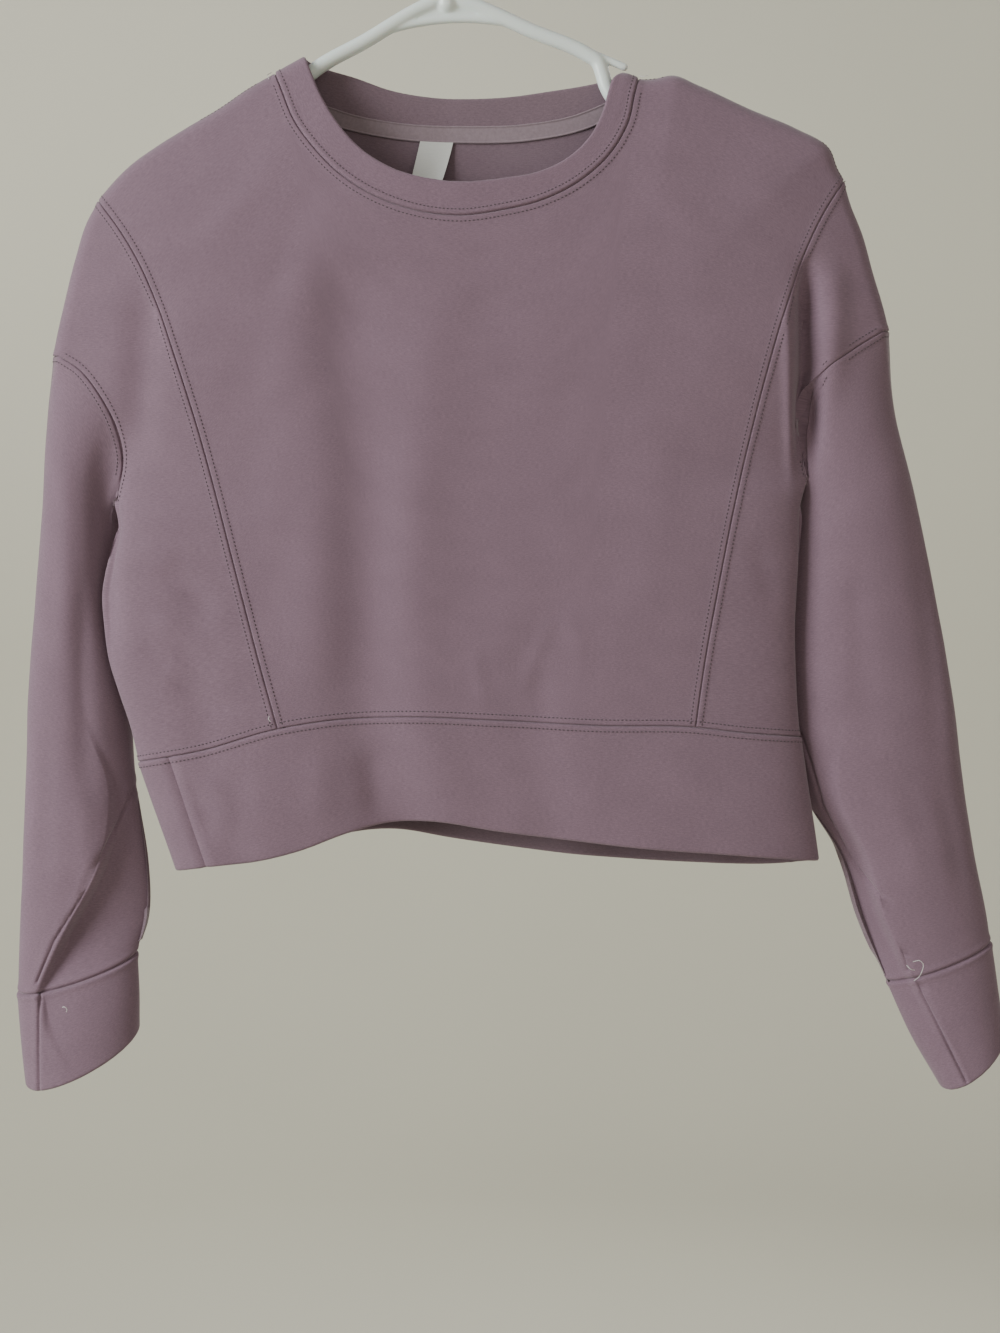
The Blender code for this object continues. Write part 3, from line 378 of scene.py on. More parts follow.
def panel_seam_rows(side, face):
    """Points down the curved panel seam, one for each row of the panels: x, z."""
    top = PANEL_SEAM[side][0][1]
    armhole_top = ARMHOLE_TOP[side]
    underarm = UNDERARM[side][1]
    hem_x = PANEL_SEAM[side][-1][0]
    hem = float(z_at(HEM_SEAM[face], hem_x))
    upper = top + (armhole_top - top) * DROP_ROWS
    middle = armhole_top + (underarm - armhole_top) * np.arange(1, ARMHOLE_ROWS + 1) / ARMHOLE_ROWS
    lower = underarm + (hem - underarm) * SIDE_ROWS
    z = np.concatenate([upper, middle, lower])
    return np.stack([at_height(PANEL_SEAM[side], z), z], -1)


def side_line_rows(side, face):
    """Points down the outer fold, the armhole seam and the side fold: x, z."""
    top = OUTER_FOLD[side][0][1]
    upper_z = top + (ARMHOLE_TOP[side] - top) * DROP_ROWS
    upper = np.stack([at_height(OUTER_FOLD[side], upper_z), upper_z], -1)
    middle = along(ARMHOLE[side][face], np.arange(1, ARMHOLE_ROWS + 1) / ARMHOLE_ROWS)
    underarm = UNDERARM[side][1]
    lower_z = underarm + (SIDE_FOLD[side][-1][1] - underarm) * SIDE_ROWS
    lower = np.stack([body_edge(side, face, lower_z), lower_z], -1)
    return np.concatenate([upper, middle, lower])


def side_panel(side):
    """Rows from the front panel seam round the side to the back panel seam."""
    shares = SIDE_COLUMNS[None, :, None]
    halves = {}
    for face in FACES:
        line = side_line_rows(side, face)
        seam = panel_seam_rows(side, face)
        flat = seam[:, None, :] * (1 - shares) + line[:, None, :] * shares
        to_hem = z_at(HEM_SEAM[face], flat[-1, :, 0]) - flat[-1, :, 1]
        flat[ARMHOLE_LAST + 1:, :, 1] += SIDE_ROWS[:, None] ** 3 * to_hem
        halves[face] = on_body(flat, face)
        halves[face][0, :, :] = (line[0, 0], 0.0, line[0, 1])
        halves[face][:len(DROP_ROWS), -1, 1] = 0.0
    front, back = halves["front"][:, -1], halves["back"][:, -1]
    turn = np.linspace(0, 1, UNDERARM_COLUMNS + 1)[1:-1, None]
    strip = np.stack([front * (1 - t) + back * t for t in turn], axis=1)
    return np.concatenate([halves["front"], strip, halves["back"][:, ::-1]], axis=1)


def centre_panel(face):
    """Front or back panel, blended between its four edges."""
    shoulder = {}
    for side, neck_point in (("left", 1), ("right", 2)):
        lengths = run_along(np.asarray(RIDGE[side], float))
        start = lengths[neck_point] / lengths[-1]
        shoulder[side] = along(RIDGE[side], start + (1 - start) * SHOULDER_SHARES[::-1])
    neck = along(NECK_SEAM[face], NECK_SHARES)
    top = np.concatenate([shoulder["left"][:-1], neck, shoulder["right"][::-1][1:]])
    left, right = (panel_seam_rows(side, face) for side in SIDES)
    across = (top[:, 0] - top[0, 0]) / (top[-1, 0] - top[0, 0])
    hem_x = left[-1, 0] + across * (right[-1, 0] - left[-1, 0])
    bottom = np.stack([hem_x, z_at(HEM_SEAM[face], hem_x)], -1)
    falls = [(edge[:, 1] - edge[0, 1]) / (edge[-1, 1] - edge[0, 1]) for edge in (left, right)]
    v = ((falls[0] + falls[1]) / 2)[:, None, None]
    ruled = top * (1 - v) + bottom * v
    u = across[None, :, None]
    flat = (ruled + (1 - u) ** SIDE_PULL * (left - ruled[:, 0])[:, None]
            + u ** SIDE_PULL * (right - ruled[:, -1])[:, None])
    grid = on_body(flat, face)
    ridge = np.ones(len(top), bool)
    ridge[len(SHOULDER_SHARES):-len(SHOULDER_SHARES)] = False
    grid[0, ridge, 1] = 0.0
    return grid


def neckband(front, back):
    """Ring of columns: the front neck seam from left to right, then the back one from right to left."""
    skip = len(SHOULDER_SHARES) - 1
    seams = {"front": front[0, skip:-skip], "back": back[0, skip:-skip]}
    rows = []
    for share in spaced(NECKBAND_DEPTH, NEAR_SEAM[:8], NEAR_ROLL, NECKBAND_STEP):
        ring = []
        for face, seam in seams.items():
            flat = seam[:, [0, 2]] * (1 - share) + along(NECK_EDGE[face], NECK_SHARES) * share
            lifted = on_body(flat, face)
            lifted[[0, -1], 1] = 0.0
            ring.append(lifted if face == "front" else lifted[::-1])
        rows.append(np.concatenate([ring[0], ring[1][1:]]))
    return np.array(rows)


def ring_values(table, at):
    """A sleeve table's columns by name, read between its rings."""
    knots = np.arange(len(table))
    columns = np.asarray(table, float).T
    return {name: float(hermite(at, knots, column)) for name, column in zip(SLEEVE_COLUMNS, columns)}


def tube_ring(ring, half_columns):
    """One ring of a sleeve or cuff: outer fold, front, inner fold, back; the last point closes it.

    On the front the cloth steps back at the underarm fold, from its lip to its foot.
    """
    lip_column = (half_columns - STEP_COLUMNS) // 2
    foot_column = lip_column + STEP_COLUMNS
    column = np.arange(half_columns + 1)
    quarter = math.pi / 2
    out = np.clip(column / lip_column, 0.0, 1.0)
    step = np.clip((column - lip_column) / STEP_COLUMNS, 0.0, 1.0)
    inside = np.clip((half_columns - column) / (half_columns - foot_column), 0.0, 1.0)
    lip = ring["step_at"] - STEP_SPREAD[0]
    foot = ring["step_at"] + STEP_SPREAD[1]
    front_share = np.where(column <= lip_column, lip * (1 - np.cos(quarter * out)),
                           np.where(column < foot_column, lip + (foot - lip) * step,
                                    1 - (1 - foot) * (1 - np.cos(quarter * inside))))
    drop = ring["step_drop"] * ease(step) * np.sqrt(np.sin(quarter * inside))
    shares = {"front": front_share, "back": (1 - np.cos(2 * quarter * column / half_columns)) / 2}
    points = []
    for face, sign in FACES.items():
        s = shares[face]
        bow = np.sqrt(np.clip(4 * s * (1 - s), 0.0, 1.0))
        depth = ring[face] * bow - (drop if face == "front" else 0.0)
        x = ring["outer_x"] + (ring["inner_x"] - ring["outer_x"]) * s
        z = ring["outer_z"] + (ring["inner_z"] - ring["outer_z"]) * s - sign * ring["tilt"] * bow
        y = ring["outer_y"] + (ring["inner_y"] - ring["outer_y"]) * s + sign * depth
        points.append(np.stack([x, y, z], -1))
    return np.concatenate([points[0], points[1][::-1][1:]])


def armhole_loop(panel):
    """The side panel's armhole edge, in the order of a sleeve ring."""
    front = panel[ARMHOLE_FIRST:ARMHOLE_LAST + 1, FRONT_SIDE]
    back = panel[ARMHOLE_FIRST:ARMHOLE_LAST + 1, BACK_SIDE]
    strip = panel[ARMHOLE_LAST, FRONT_SIDE + 1:BACK_SIDE]
    return np.concatenate([front, strip, back[::-1]])


def sleeve(side, loop):
    """Rings from the armhole's loop down to the cuff."""
    half = (len(loop) - 1) // 2
    table = SLEEVE_RINGS[side]
    shape = tube_ring(ring_values(table, 0.0), half)
    rows = []
    for at in (len(table) - 1) * spaced(SLEEVE_LENGTH, NEAR_SEAM, NEAR_SEAM):
        own = max(0.0, 1 - at / SLEEVE_BLEND) ** 2
        rows.append(tube_ring(ring_values(table, at), half) + own * (loop - shape))
    return np.array(rows)


def cuff(side, loop):
    """Rings from the sleeve's last one down to the free edge."""
    half = (len(loop) - 1) // 2
    table = CUFF_RINGS[side]
    shares = spaced(CUFF_DEPTH, NEAR_SEAM, NEAR_ROLL, CUFF_STEP)[1:]
    return np.array([loop] + [tube_ring(ring_values(table, (len(table) - 1) * share), half)
                              for share in shares])


def hem_ring(front, back, left, right):
    """The body's lower edge: from the left side fold along the front, the right side and the back."""
    middle = left.shape[1] // 2
    return np.concatenate([left[-1, middle::-1], front[-1, 1:], right[-1, 1:], back[-1, ::-1][1:],
                           left[-1, ::-1][1:middle + 1]])


def hem_band(top):
    """A band hung from a stretch of the hem ring."""
    left_top, right_top = SIDE_FOLD["left"][-1][0], SIDE_FOLD["right"][-1][0]
    left_low, right_low = HEM_EDGE["front"][0][0], HEM_EDGE["front"][-1][0]
    across = np.clip((top[:, 0] - left_top) / (right_top - left_top), 0.0, 1.0)
    low_x = left_low + across * (right_low - left_low)
    middle_y = SIDE_FOLD["left"][-1][2] * (1 - across) + SIDE_FOLD["right"][-1][2] * across
    is_front = top[:, 1] < middle_y + SAME_SEAM
    low_z = np.where(is_front, z_at(HEM_EDGE["front"], low_x), z_at(HEM_EDGE["back"], low_x))
    lean = np.where(is_front, HEM_LEAN["front"], HEM_LEAN["back"])
    low_y = top[:, 1] + lean * np.exp(-((low_x - HEM_LEAN_X) / HEM_LEAN_WIDTH) ** 2)
    low = np.stack([low_x, low_y, low_z], -1)
    thickness = np.clip(np.abs(top[:, 1] - middle_y) / BACK_DEPTH, 0.0, 1.0)
    rows = []
    for share in spaced(HEM_DEPTH, NEAR_SEAM, NEAR_ROLL, HEM_STEP):
        points = top * (1 - share) + low * share
        outwards = np.where(is_front, -1.0, 1.0)
        points[:, 1] += outwards * thickness * HEM_BULGE * math.sin(math.pi * share * HEM_BULGE_RUN)
        rows.append(points)
    return np.array(rows)


# ---- how the cloth is pressed, stitched and creased ----

STITCH_FROM_SEAM = 3.4
STITCH_PITCH = 2.4
STITCH_SIZE = (0.75, 0.36, 0.28)    # half length, half width, half height
STITCH_LIFT = 0.1
STITCH_REACH = 1.7      # a stitch is left out where the cloth is further away than this
BEAD_FACES = (6, 4)     # of a stitch's bead: round it, from foot to top
SHARP_ANGLE = math.radians(60)
FOLD_ROLL = DOUBLE_WALL / 2
LEAST_WALL = 0.25
LINE_STEP = 0.3         # between the points by which distance to a seam is measured

# Relief beside a seam: height and width, or height, distance from the seam and width
STITCHED_GROOVE = (-1.0, 0.42)
STITCHED_WELT = (0.3, 3.2, 1.4)     # flat up to its distance, then it falls over its width
STITCH_DENT = (-0.18, 0.5)          # under the row of stitches
PLAIN_GROOVE = (-0.95, 0.7)
PLAIN_SWELL = (0.5, 2.2, 1.7)
PLAIN_REACH = 12.0
FLATTENED = 0.3         # share of its creases that the cloth loses at a seam
FLATTENED_REACH = 6.0   # over this distance from it
LIFT_REACH = 1.5        # over which a folded strip rises beside its seam
CREASE_FACING = 1.6     # how soon a crease leaves the cloth that turns away
CREASE_FADES = (0.3, 0.35)      # shares of a crease over which its two ends run out
FACES_FRONT = 0.1       # normals with a lower y count as the front
REFINED = (2.5, 2.0)    # how near to a crossing seam faces are refined, and up to which y

# Seams that run over a sleeve or cuff on its front: x, z
INNER_SEAMS = {
    "sleeve_left": ((-177.7, -561), (-193, -596), (-209.2, -634), (-227.6, -662.5), (-238.3, -687.4)),
    "cuff_left": ((-236.5, -690), (-236.5, -720), (-236.5, -760)),
    "sleeve_right": ((218.9, -539.6), (232, -583.5), (249.2, -614.4), (264.6, -636.3), (275.9, -662.5),
                     (281.2, -680.3)),
    "cuff_right": ((284.5, -681), (290, -695), (300, -715), (315, -746)),
}

# Creases of the hung cloth by face: from x, z to x, z, sideways bow, half width, height (- is a trough)
CREASES = {
    "front": (
        # the fold beside the body's edge, under each shoulder
        (-172, -262, -184, -392, 4, 12, -3.4),
        (220, -248, 221, -390, 0, 6.5, -13.0),
        (206, -275, 211, -405, 0, 3.2, 1.8),
        (236, -250, 234, -350, 1, 8, 2.2),
        # broad hanging folds of the front
        (-92, -252, -100, -470, 4, 14, 1.2),
        (-45, -262, -52, -560, -5, 22, 2.4),
        (-20, -330, -26, -520, 5, 16, 1.3),
        (-64, -300, -70, -560, 3, 13, 0.8),
        (50, -520, 72, -466, 2, 5, 0.55),
        (72, -466, 88, -496, 2, 6, 0.45),
        (60, -500, 66, -540, 0, 8, -0.5),
        (22, -486, 30, -528, 0, 5, 0.4),
        (128, -330, 118, -500, 6, 18, 0.7),
        # drag lines from the neck and the shoulder
        (-84, -178, -150, -262, 5, 9, 0.7),
        (-66, -205, -96, -300, -6, 10, -0.6),
        (112, -186, 165, -250, -4, 10, 0.5),
        (20, -240, 30, -320, 3, 16, -0.5),
        # slanting creases of the left side panel and hem band
        (-168, -440, -128, -476, 5, 6.5, -1.3),
        (-172, -470, -130, -498, 5, 6, 1.1),
        (-160, -505, -112, -528, -3, 6, -1.0),
        (-180, -430, -150, -440, 3, 5, 0.7),
        (-176, -486, -156, -505, 2, 4, -0.7),
        (-150, -565, -132, -606, 3, 5, -1.2),
        (-136, -560, -120, -600, 2, 5, 0.9),
        (-118, -556, -110, -590, 0, 6, -0.6),
        (-70, -545, -66, -596, 0, 9, 0.7),
        (-40, -545, -33, -592, 0, 8, -1.1),
        (186, -420, 200, -470, 2, 7, -0.6),
        # sleeves
        (-222, -350, -224, -520, 3, 7, 1.1),
        (-197, -345, -192, -520, -2, 8, -4.0),
        (-208, -430, -206, -600, -3, 6, -1.6),
        (-232, -520, -236, -650, 2, 6, -0.8),
        (-214, -560, -206, -640, 2, 6, 0.9),
        (276, -350, 298, -560, 6, 8, -0.8),
        (284, -370, 308, -600, 5, 6, 1.6),
        (250, -420, 262, -560, -4, 8, -0.9),
        (296, -560, 314, -650, 3, 6, -1.0),
        (262, -560, 290, -640, 3, 6, 0.8),
    ),
    "back": (
        (-110, -240, -128, -420, 8, 15, -1.8),
        (-60, -230, -76, -500, -6, 16, 1.5),
        (10, -250, 4, -520, 6, 20, -1.6),
        (84, -240, 104, -480, -8, 16, 1.4),
        (140, -250, 150, -440, 6, 14, -1.5),
        (-130, -440, -80, -500, 6, 8, -1.2),
        (110, -470, 160, -520, -5, 8, 1.0),
        (-20, -500, 30, -530, 4, 9, 0.9),
        (-222, -350, -226, -560, 4, 8, -1.5),
        (-210, -420, -208, -620, -4, 7, 1.2),
        (262, -370, 290, -590, 6, 8, -1.5),
        (286, -400, 306, -600, 5, 8, 1.2),
        (-60, -560, -56, -605, 0, 9, -1.0),
        (90, -555, 96, -610, 0, 10, -1.1),
    ),
}
UNDULATION = ((70.0, 0.55), (26.0, 0.22))   # size and height of the cloth's own unevenness


def read_line(points, run, at):
    """Points of a line at lengths run along it."""
    return np.stack([np.interp(at, run, column) for column in np.asarray(points).T], -1)


def resampled(points, step=LINE_STEP):
    """Points at even steps along a line."""
    run = run_along(points)
    at = np.linspace(0, run[-1], max(2, math.ceil(run[-1] / step)))
    return read_line(points, run, at)


def distances(points, lines):
    """How far each point is from the nearest of some lines."""
    if not lines:
        return np.full(len(points), np.inf)
    samples = np.concatenate([resampled(line) for line in lines])
    tree = KDTree(len(samples))
    for i, sample in enumerate(samples):
        tree.insert(sample, i)
    tree.balance()
    return np.array([tree.find(point)[2] for point in points])


def swell(distance, height, width):
    """A rounded rise, or a dip where its height is below 0."""
    return height * np.exp(-(distance / width) ** 2)


def stitched_relief(distance):
    """A topstitched seam: a groove, the allowance pressed under it, and the row of stitches."""
    welt, welt_end, welt_fall = STITCHED_WELT
    return (swell(distance, *STITCHED_GROOVE) + welt * (1 - ease((distance - welt_end) / welt_fall))
            + swell(distance - STITCH_FROM_SEAM, *STITCH_DENT))


def plain_relief(distance):
    """A seam with no topstitch: a groove between two soft swells."""
    height, place, width = PLAIN_SWELL
    return swell(distance, *PLAIN_GROOVE) + swell(distance - place, height, width)


def crease_relief(points, normals):
    """Soft troughs and ridges, each fading out at its ends."""
    out = np.zeros(len(points))
    rows = [(face, *crease) for face, creases in CREASES.items() for crease in creases]
    for face, x0, z0, x1, z1, bow, half_width, height in rows:
        facing = ease(FACES[face] * normals[:, 1] * CREASE_FACING)
        start, run = np.array((x0, z0)), np.array((x1 - x0, z1 - z0))
        length = np.linalg.norm(run)
        way = run / length
        place = points[:, [0, 2]] - start
        share = (place @ way) / length
        aside = place @ np.array((-way[1], way[0])) - bow * 4 * share * (1 - share)
        fade = ease(share / CREASE_FADES[0]) * ease((1 - share) / CREASE_FADES[1])
        out += height * facing * fade * np.exp(-(aside / half_width) ** 2)
    return out


def undulation(points):
    """The cloth's own slight unevenness at each point."""
    out = np.zeros(len(points))
    for size, height in UNDULATION:
        out += height * np.array([noise.noise(Vector(point) / size) for point in points])
    return out


def piece_lines(name, grid):
    """The edges of a piece, by how each is sewn."""
    lines = {"stitched": [], "plain": [], "fold": []}
    if name.endswith("panel"):
        lines["stitched"] = [grid[0], grid[:, 0], grid[:, -1], grid[-1]]
    elif name.startswith("side_panel"):
        lines["stitched"] = [grid[:, 0], grid[:, -1], grid[-1], armhole_loop(grid)]
    elif name.startswith("sleeve"):
        lines["stitched"] = [grid[0]]
        lines["plain"] = [grid[-1]]
    elif name.startswith("cuff"):
        lines["plain"] = [grid[0]]
        lines["fold"] = [grid[-1]]
    else:
        lines["stitched"] = [grid[0]]
        lines["fold"] = [grid[-1]]
        if name.startswith("hem"):
            lines["plain"] = [grid[:, 0], grid[:, -1]]
    return lines


def sheet(points, hole=None):
    """A grid of points as one open mesh; hole is the rows and columns left out."""
    rows, columns = points.shape[0] - 1, points.shape[1] - 1
    bm = bmesh.new()
    bmesh.ops.create_grid(bm, x_segments=columns, y_segments=rows, size=1.0)
    bm.verts.ensure_lookup_table()
    bm.faces.ensure_lookup_table()
    for vert, point in zip(bm.verts, points.reshape(-1, 3)):
        vert.co = point
    across = run_along(points[rows // 2]) * MM
    down = run_along(points[:, columns // 3]) * MM
    cut = bm.loops.layers.uv.new(UV_NAME)
    for face in bm.faces:
        for loop in face.loops:
            row, column = divmod(loop.vert.index, columns + 1)
            loop[cut].uv = (across[column], -down[row])
    if hole:
        (row_from, row_to), (column_from, column_to) = hole
        open_faces = []
        for row in range(row_from, row_to):
            open_faces += [bm.faces[row * columns + column] for column in range(column_from, column_to)]
        bmesh.ops.delete(bm, geom=open_faces, context="FACES")
    bmesh.ops.remove_doubles(bm, verts=bm.verts, dist=SAME_POINT)
    return bm


def refine(bm, line):
    """Closer faces beside a seam that crosses a piece's front."""
    reach, furthest_back = REFINED
    line = np.asarray(line, float)
    points = np.array([vert.co for vert in bm.verts])
    near = distance_to_line(points[:, [0, 2]], line) < reach
    edges = [edge for edge in bm.edges
             if near[edge.verts[0].index] and near[edge.verts[1].index]
             and edge.verts[0].co.y < furthest_back]
    bmesh.ops.subdivide_edges(bm, edges=edges, cuts=2, use_grid_fill=True)


def under_arm(place):
    """Whether a place is by one of the two underarm points."""
    points = (Vector((x, 0.0, z)) for x, z in UNDERARM.values())
    return min((place - point).length for point in points) < UNDERARM_RADIUS


def shared_normals(sheets):
    """Outward normals of the whole welded garment; under the arm each piece keeps its own."""
    whole = bmesh.new()
    for bm in sheets.values():
        mesh = bpy.data.meshes.new("form")
        bm.to_mesh(mesh)
        whole.from_mesh(mesh)
        bpy.data.meshes.remove(mesh)
    bmesh.ops.remove_doubles(whole, verts=whole.verts, dist=SAME_SEAM)
    bmesh.ops.recalc_face_normals(whole, faces=whole.faces)
    whole.normal_update()
    highest = max(whole.faces, key=lambda face: face.calc_center_median().z)
    outwards = 1.0 if highest.normal.z > 0 else -1.0
    tree = KDTree(len(whole.verts))
    for vert in whole.verts:
        tree.insert(vert.co, vert.index)
    tree.balance()
    whole.verts.ensure_lookup_table()
    normals = {}
    for name, bm in sheets.items():
        welded = [whole.verts[tree.find(vert.co)[1]].normal * outwards for vert in bm.verts]
        bmesh.ops.recalc_face_normals(bm, faces=bm.faces)
        bm.normal_update()
        if sum(vert.normal.dot(normal) for vert, normal in zip(bm.verts, welded)) < 0:
            bmesh.ops.reverse_faces(bm, faces=bm.faces)
            bm.normal_update()
        normals[name] = np.array([vert.normal if under_arm(vert.co) else normal
                                  for vert, normal in zip(bm.verts, welded)])
    whole.free()
    return normals


def shape_cloth(name, bm, normals, lines):
    """Press, crease and roll a piece's outer face; returns its wall at each point."""
    points = np.array([vert.co for vert in bm.verts])
    folded = bool(lines["fold"])
    to_seam = distances(points, lines["stitched"])
    to_plain = distances(points, lines["plain"])
    out = crease_relief(points, normals) + undulation(points)
    near_seam = np.minimum(to_seam, to_plain)
    out *= ease(near_seam / FLATTENED_REACH) * FLATTENED + (1 - FLATTENED)
    pressed = stitched_relief(to_seam) + np.where(to_plain < PLAIN_REACH, plain_relief(to_plain), 0.0)
    out += pressed
    if name in INNER_SEAMS:
        across = distance_to_line(points[:, [0, 2]], np.asarray(INNER_SEAMS[name], float))
        out += np.where(normals[:, 1] < FACES_FRONT, plain_relief(across), 0.0)
    wall = np.full(len(points), WALL)
    if folded:
        to_fold = distances(points, lines["fold"])
        risen = ease(near_seam / LIFT_REACH)
        out += PROUD * risen
        inside = np.clip(FOLD_ROLL - to_fold, 0.0, FOLD_ROLL)
        half = np.sqrt(np.maximum(FOLD_ROLL ** 2 - inside ** 2, 0.0))
        out -= FOLD_ROLL - half
        wall = 2 * half - PROUD * (1 - risen)
    for vert, normal, distance in zip(bm.verts, normals, out):
        vert.co += Vector(normal) * distance
    return np.maximum(wall + np.minimum(pressed, 0.0), LEAST_WALL)


def cloth_wall(name, bm, normals, wall, mats):
    """Give a shaped piece its thickness, inwards; the inner face has the second material."""
    inward = bm.verts.layers.float_vector.new("inward")
    for vert, normal, thickness in zip(bm.verts, normals, wall):
        vert[inward] = Vector(normal) * -float(thickness)
    made = bmesh.ops.extrude_face_region(bm, geom=bm.faces[:], use_keep_orig=True)["geom"]
    for item in made:
        if isinstance(item, bmesh.types.BMVert):
            item.co += item[inward]
        elif isinstance(item, bmesh.types.BMFace):
            item.material_index = 1
    bmesh.ops.recalc_face_normals(bm, faces=bm.faces)
    return finish_mesh(name, bm, *mats)


def in_scene(name, data):
    """A new object in the scene's own collection."""
    item = bpy.data.objects.new(name, data)
    bpy.context.scene.collection.objects.link(item)
    return item


def finish_mesh(name, bm, *mats):
    """From millimetres in a bmesh to a smooth object in the frame."""
    bmesh.ops.scale(bm, vec=(MM, MM, MM), verts=bm.verts)
    mesh = bpy.data.meshes.new(name)
    bm.to_mesh(mesh)
    bm.free()
    mesh.shade_smooth()
    mesh.set_sharp_from_angle(angle=SHARP_ANGLE)
    for mat in mats:
        mesh.materials.append(mat)
    item = in_scene(name, mesh)
    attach(item, "root")
    return item


# ---- topstitching ----

def stitch_row(seam, inner, surface):
    """Places of a row's stitches: set back from the seam towards an inner line, on the outer face."""
    run = run_along(seam)
    at = np.arange(STITCH_PITCH, run[-1], STITCH_PITCH)
    line, inner = read_line(seam, run, at), read_line(inner, run, at)
    row = []
    for place, way, inside in zip(line, np.gradient(line, axis=0), inner - line):
        way = Vector(way).normalized()
        inside = Vector(inside)
        inside -= way * inside.dot(way)
        aim = Vector(place) + inside.normalized() * STITCH_FROM_SEAM
        found, normal, _, distance = surface.find_nearest(aim)
        if found is not None and distance < STITCH_REACH:
            way = (way - normal * way.dot(normal)).normalized()
            row.append((found + normal * STITCH_LIFT, way, normal.cross(way), normal))
    return row


def sewn_edges(name, grid):
    """Pairs of lines for a piece's rows of stitches: its seam, and a line a little way in."""
    step = NEAR_SEAM.index(3.8)
    if name in ("front_panel", "back_panel"):
        corner = len(SHOULDER_SHARES)
        top = slice(None) if name == "front_panel" else slice(corner, -corner)
        return [(grid[0, top], grid[step, top]), (grid[:, 0], grid[:, step]),
                (grid[:, -1], grid[:, -1 - step]), (grid[-1], grid[-1 - step])]
    if name.startswith("side_panel"):
        across = NEAR_FOLD.index(5.0)
        arm = slice(ARMHOLE_FIRST, ARMHOLE_LAST + 1)
        inner = np.concatenate([grid[arm, FRONT_SIDE - across],
                                grid[ARMHOLE_LAST + 2, FRONT_SIDE + 1:BACK_SIDE],
                                grid[arm, BACK_SIDE + across][::-1]])
        return [(grid[:, 0], grid[:, step]), (grid[:, -1], grid[:, -1 - step]),
                (grid[-1], grid[-1 - step]), (armhole_loop(grid), inner)]
    if name.startswith("cuff"):
        return []
    return [(grid[0], grid[step])]


def surface_of(piece):
    """A finished piece's surface, in millimetres."""
    mesh = piece.data
    return BVHTree.FromPolygons([vert.co / MM for vert in mesh.vertices],
                                [tuple(face.vertices) for face in mesh.polygons])


def topstitching(grids, pieces, mat):
    """All the rows of stitches as one piece: a small bead repeated at each stitch."""
    bead = bmesh.new()
    around, upwards = BEAD_FACES
    bmesh.ops.create_uvsphere(bead, u_segments=around, v_segments=upwards, radius=1.0)
    points = np.array([vert.co for vert in bead.verts]) * STITCH_SIZE
    faces = [[vert.index for vert in face.verts] for face in bead.faces]
    bead.free()
    stitches = []
    for name, grid in grids.items():
        surface = surface_of(pieces[name])
        for seam, inner in sewn_edges(name, grid):
            stitches += stitch_row(seam, inner, surface)
    placed = [np.array(place) + points @ np.array(axes) for place, *axes in stitches]
    every = [[corner + i * len(points) for corner in face] for i in range(len(placed)) for face in faces]
    mesh = bpy.data.meshes.new("stitches")
    mesh.from_pydata(np.concatenate(placed).tolist(), [], every)
    bm = bmesh.new()
    bm.from_mesh(mesh)
    bpy.data.meshes.remove(mesh)
    return finish_mesh("topstitching", bm, mat)


# ---- neck tape and label ----

TAPE_ABOVE = 4.5        # over the neckband, from the back neck seam
TAPE_BELOW = 6.0        # over the back panel
TAPE_BACKING = 0.45     # from the band's inner face to the tape's middle
TAPE_WALL = 0.8
TAPE_PIPING = (0.6, 0.55)   # its distance from the tape's edge, its radius
TAPE_SPAN = (0.05, 0.95)    # shares of the back neck seam
TAPE_COLUMNS = 150
TAPE_EDGE = (0.15, 0.45, 0.85, 1.25, 1.6, 1.75, 2.1)   # distances of the rows next to its edges
TAPE_STEP = 1.0
LABEL_SIZE = (20.0, 30.0, 0.5)   # width, drop, thickness
LABEL_CENTRE_X = -0.5
LABEL_TURN = -7.0       # sideways slant of its lower edge
LABEL_LEAN = 5.0        # how far its lower edge swings to the front
LABEL_CURL = 2.2        # how far its lower corners come forward
LABEL_CORNERS = (0.35, 1.0)     # share of the curl at the left and right corner
LABEL_PINCH = 1.2       # how far the curling corners draw in
LABEL_WAVE = (0.35, 7.0, 1.0)   # height, turns across in radians, start
LABEL_LAP = 0.8         # how far its top laps over the tape's lower edge
LABEL_CLEAR = 0.7       # how far it hangs in front of the tape
LABEL_GRID = (33, 25)   # rows, columns


def even_wall(name, rows, thickness, mats):
    """A trim of one thickness, from the rows of its face towards the front."""
    bm = sheet(np.array(rows))
    normals = np.tile((0.0, -1.0, 0.0), (len(bm.verts), 1))
    return cloth_wall(name, bm, normals, np.full(len(bm.verts), thickness), mats)


def neck_tape(mats):
    """A flat tape with piped edges, over the back neck seam on the inside."""
    seam, band = (along(line["back"], np.linspace(*TAPE_SPAN, TAPE_COLUMNS))
                  for line in (NECK_SEAM, NECK_EDGE))
    up = band - seam
    up /= np.linalg.norm(up, axis=1)[:, None]
    width = TAPE_ABOVE + TAPE_BELOW
    rows = []
    for run in width * spaced(width, TAPE_EDGE, TAPE_EDGE, TAPE_STEP):
        flat = seam + up * (TAPE_ABOVE - run)
        points = on_body(flat, "back")
        points[:, 1] -= DOUBLE_WALL - PROUD + TAPE_BACKING
        distance, radius = TAPE_PIPING
        for edge in (run, width - run):
            points[:, 1] -= radius * math.sqrt(max(0.0, 1 - ((edge - distance) / radius) ** 2))
        rows.append(points)
    return even_wall("piped_neck_tape", rows, TAPE_WALL, mats)


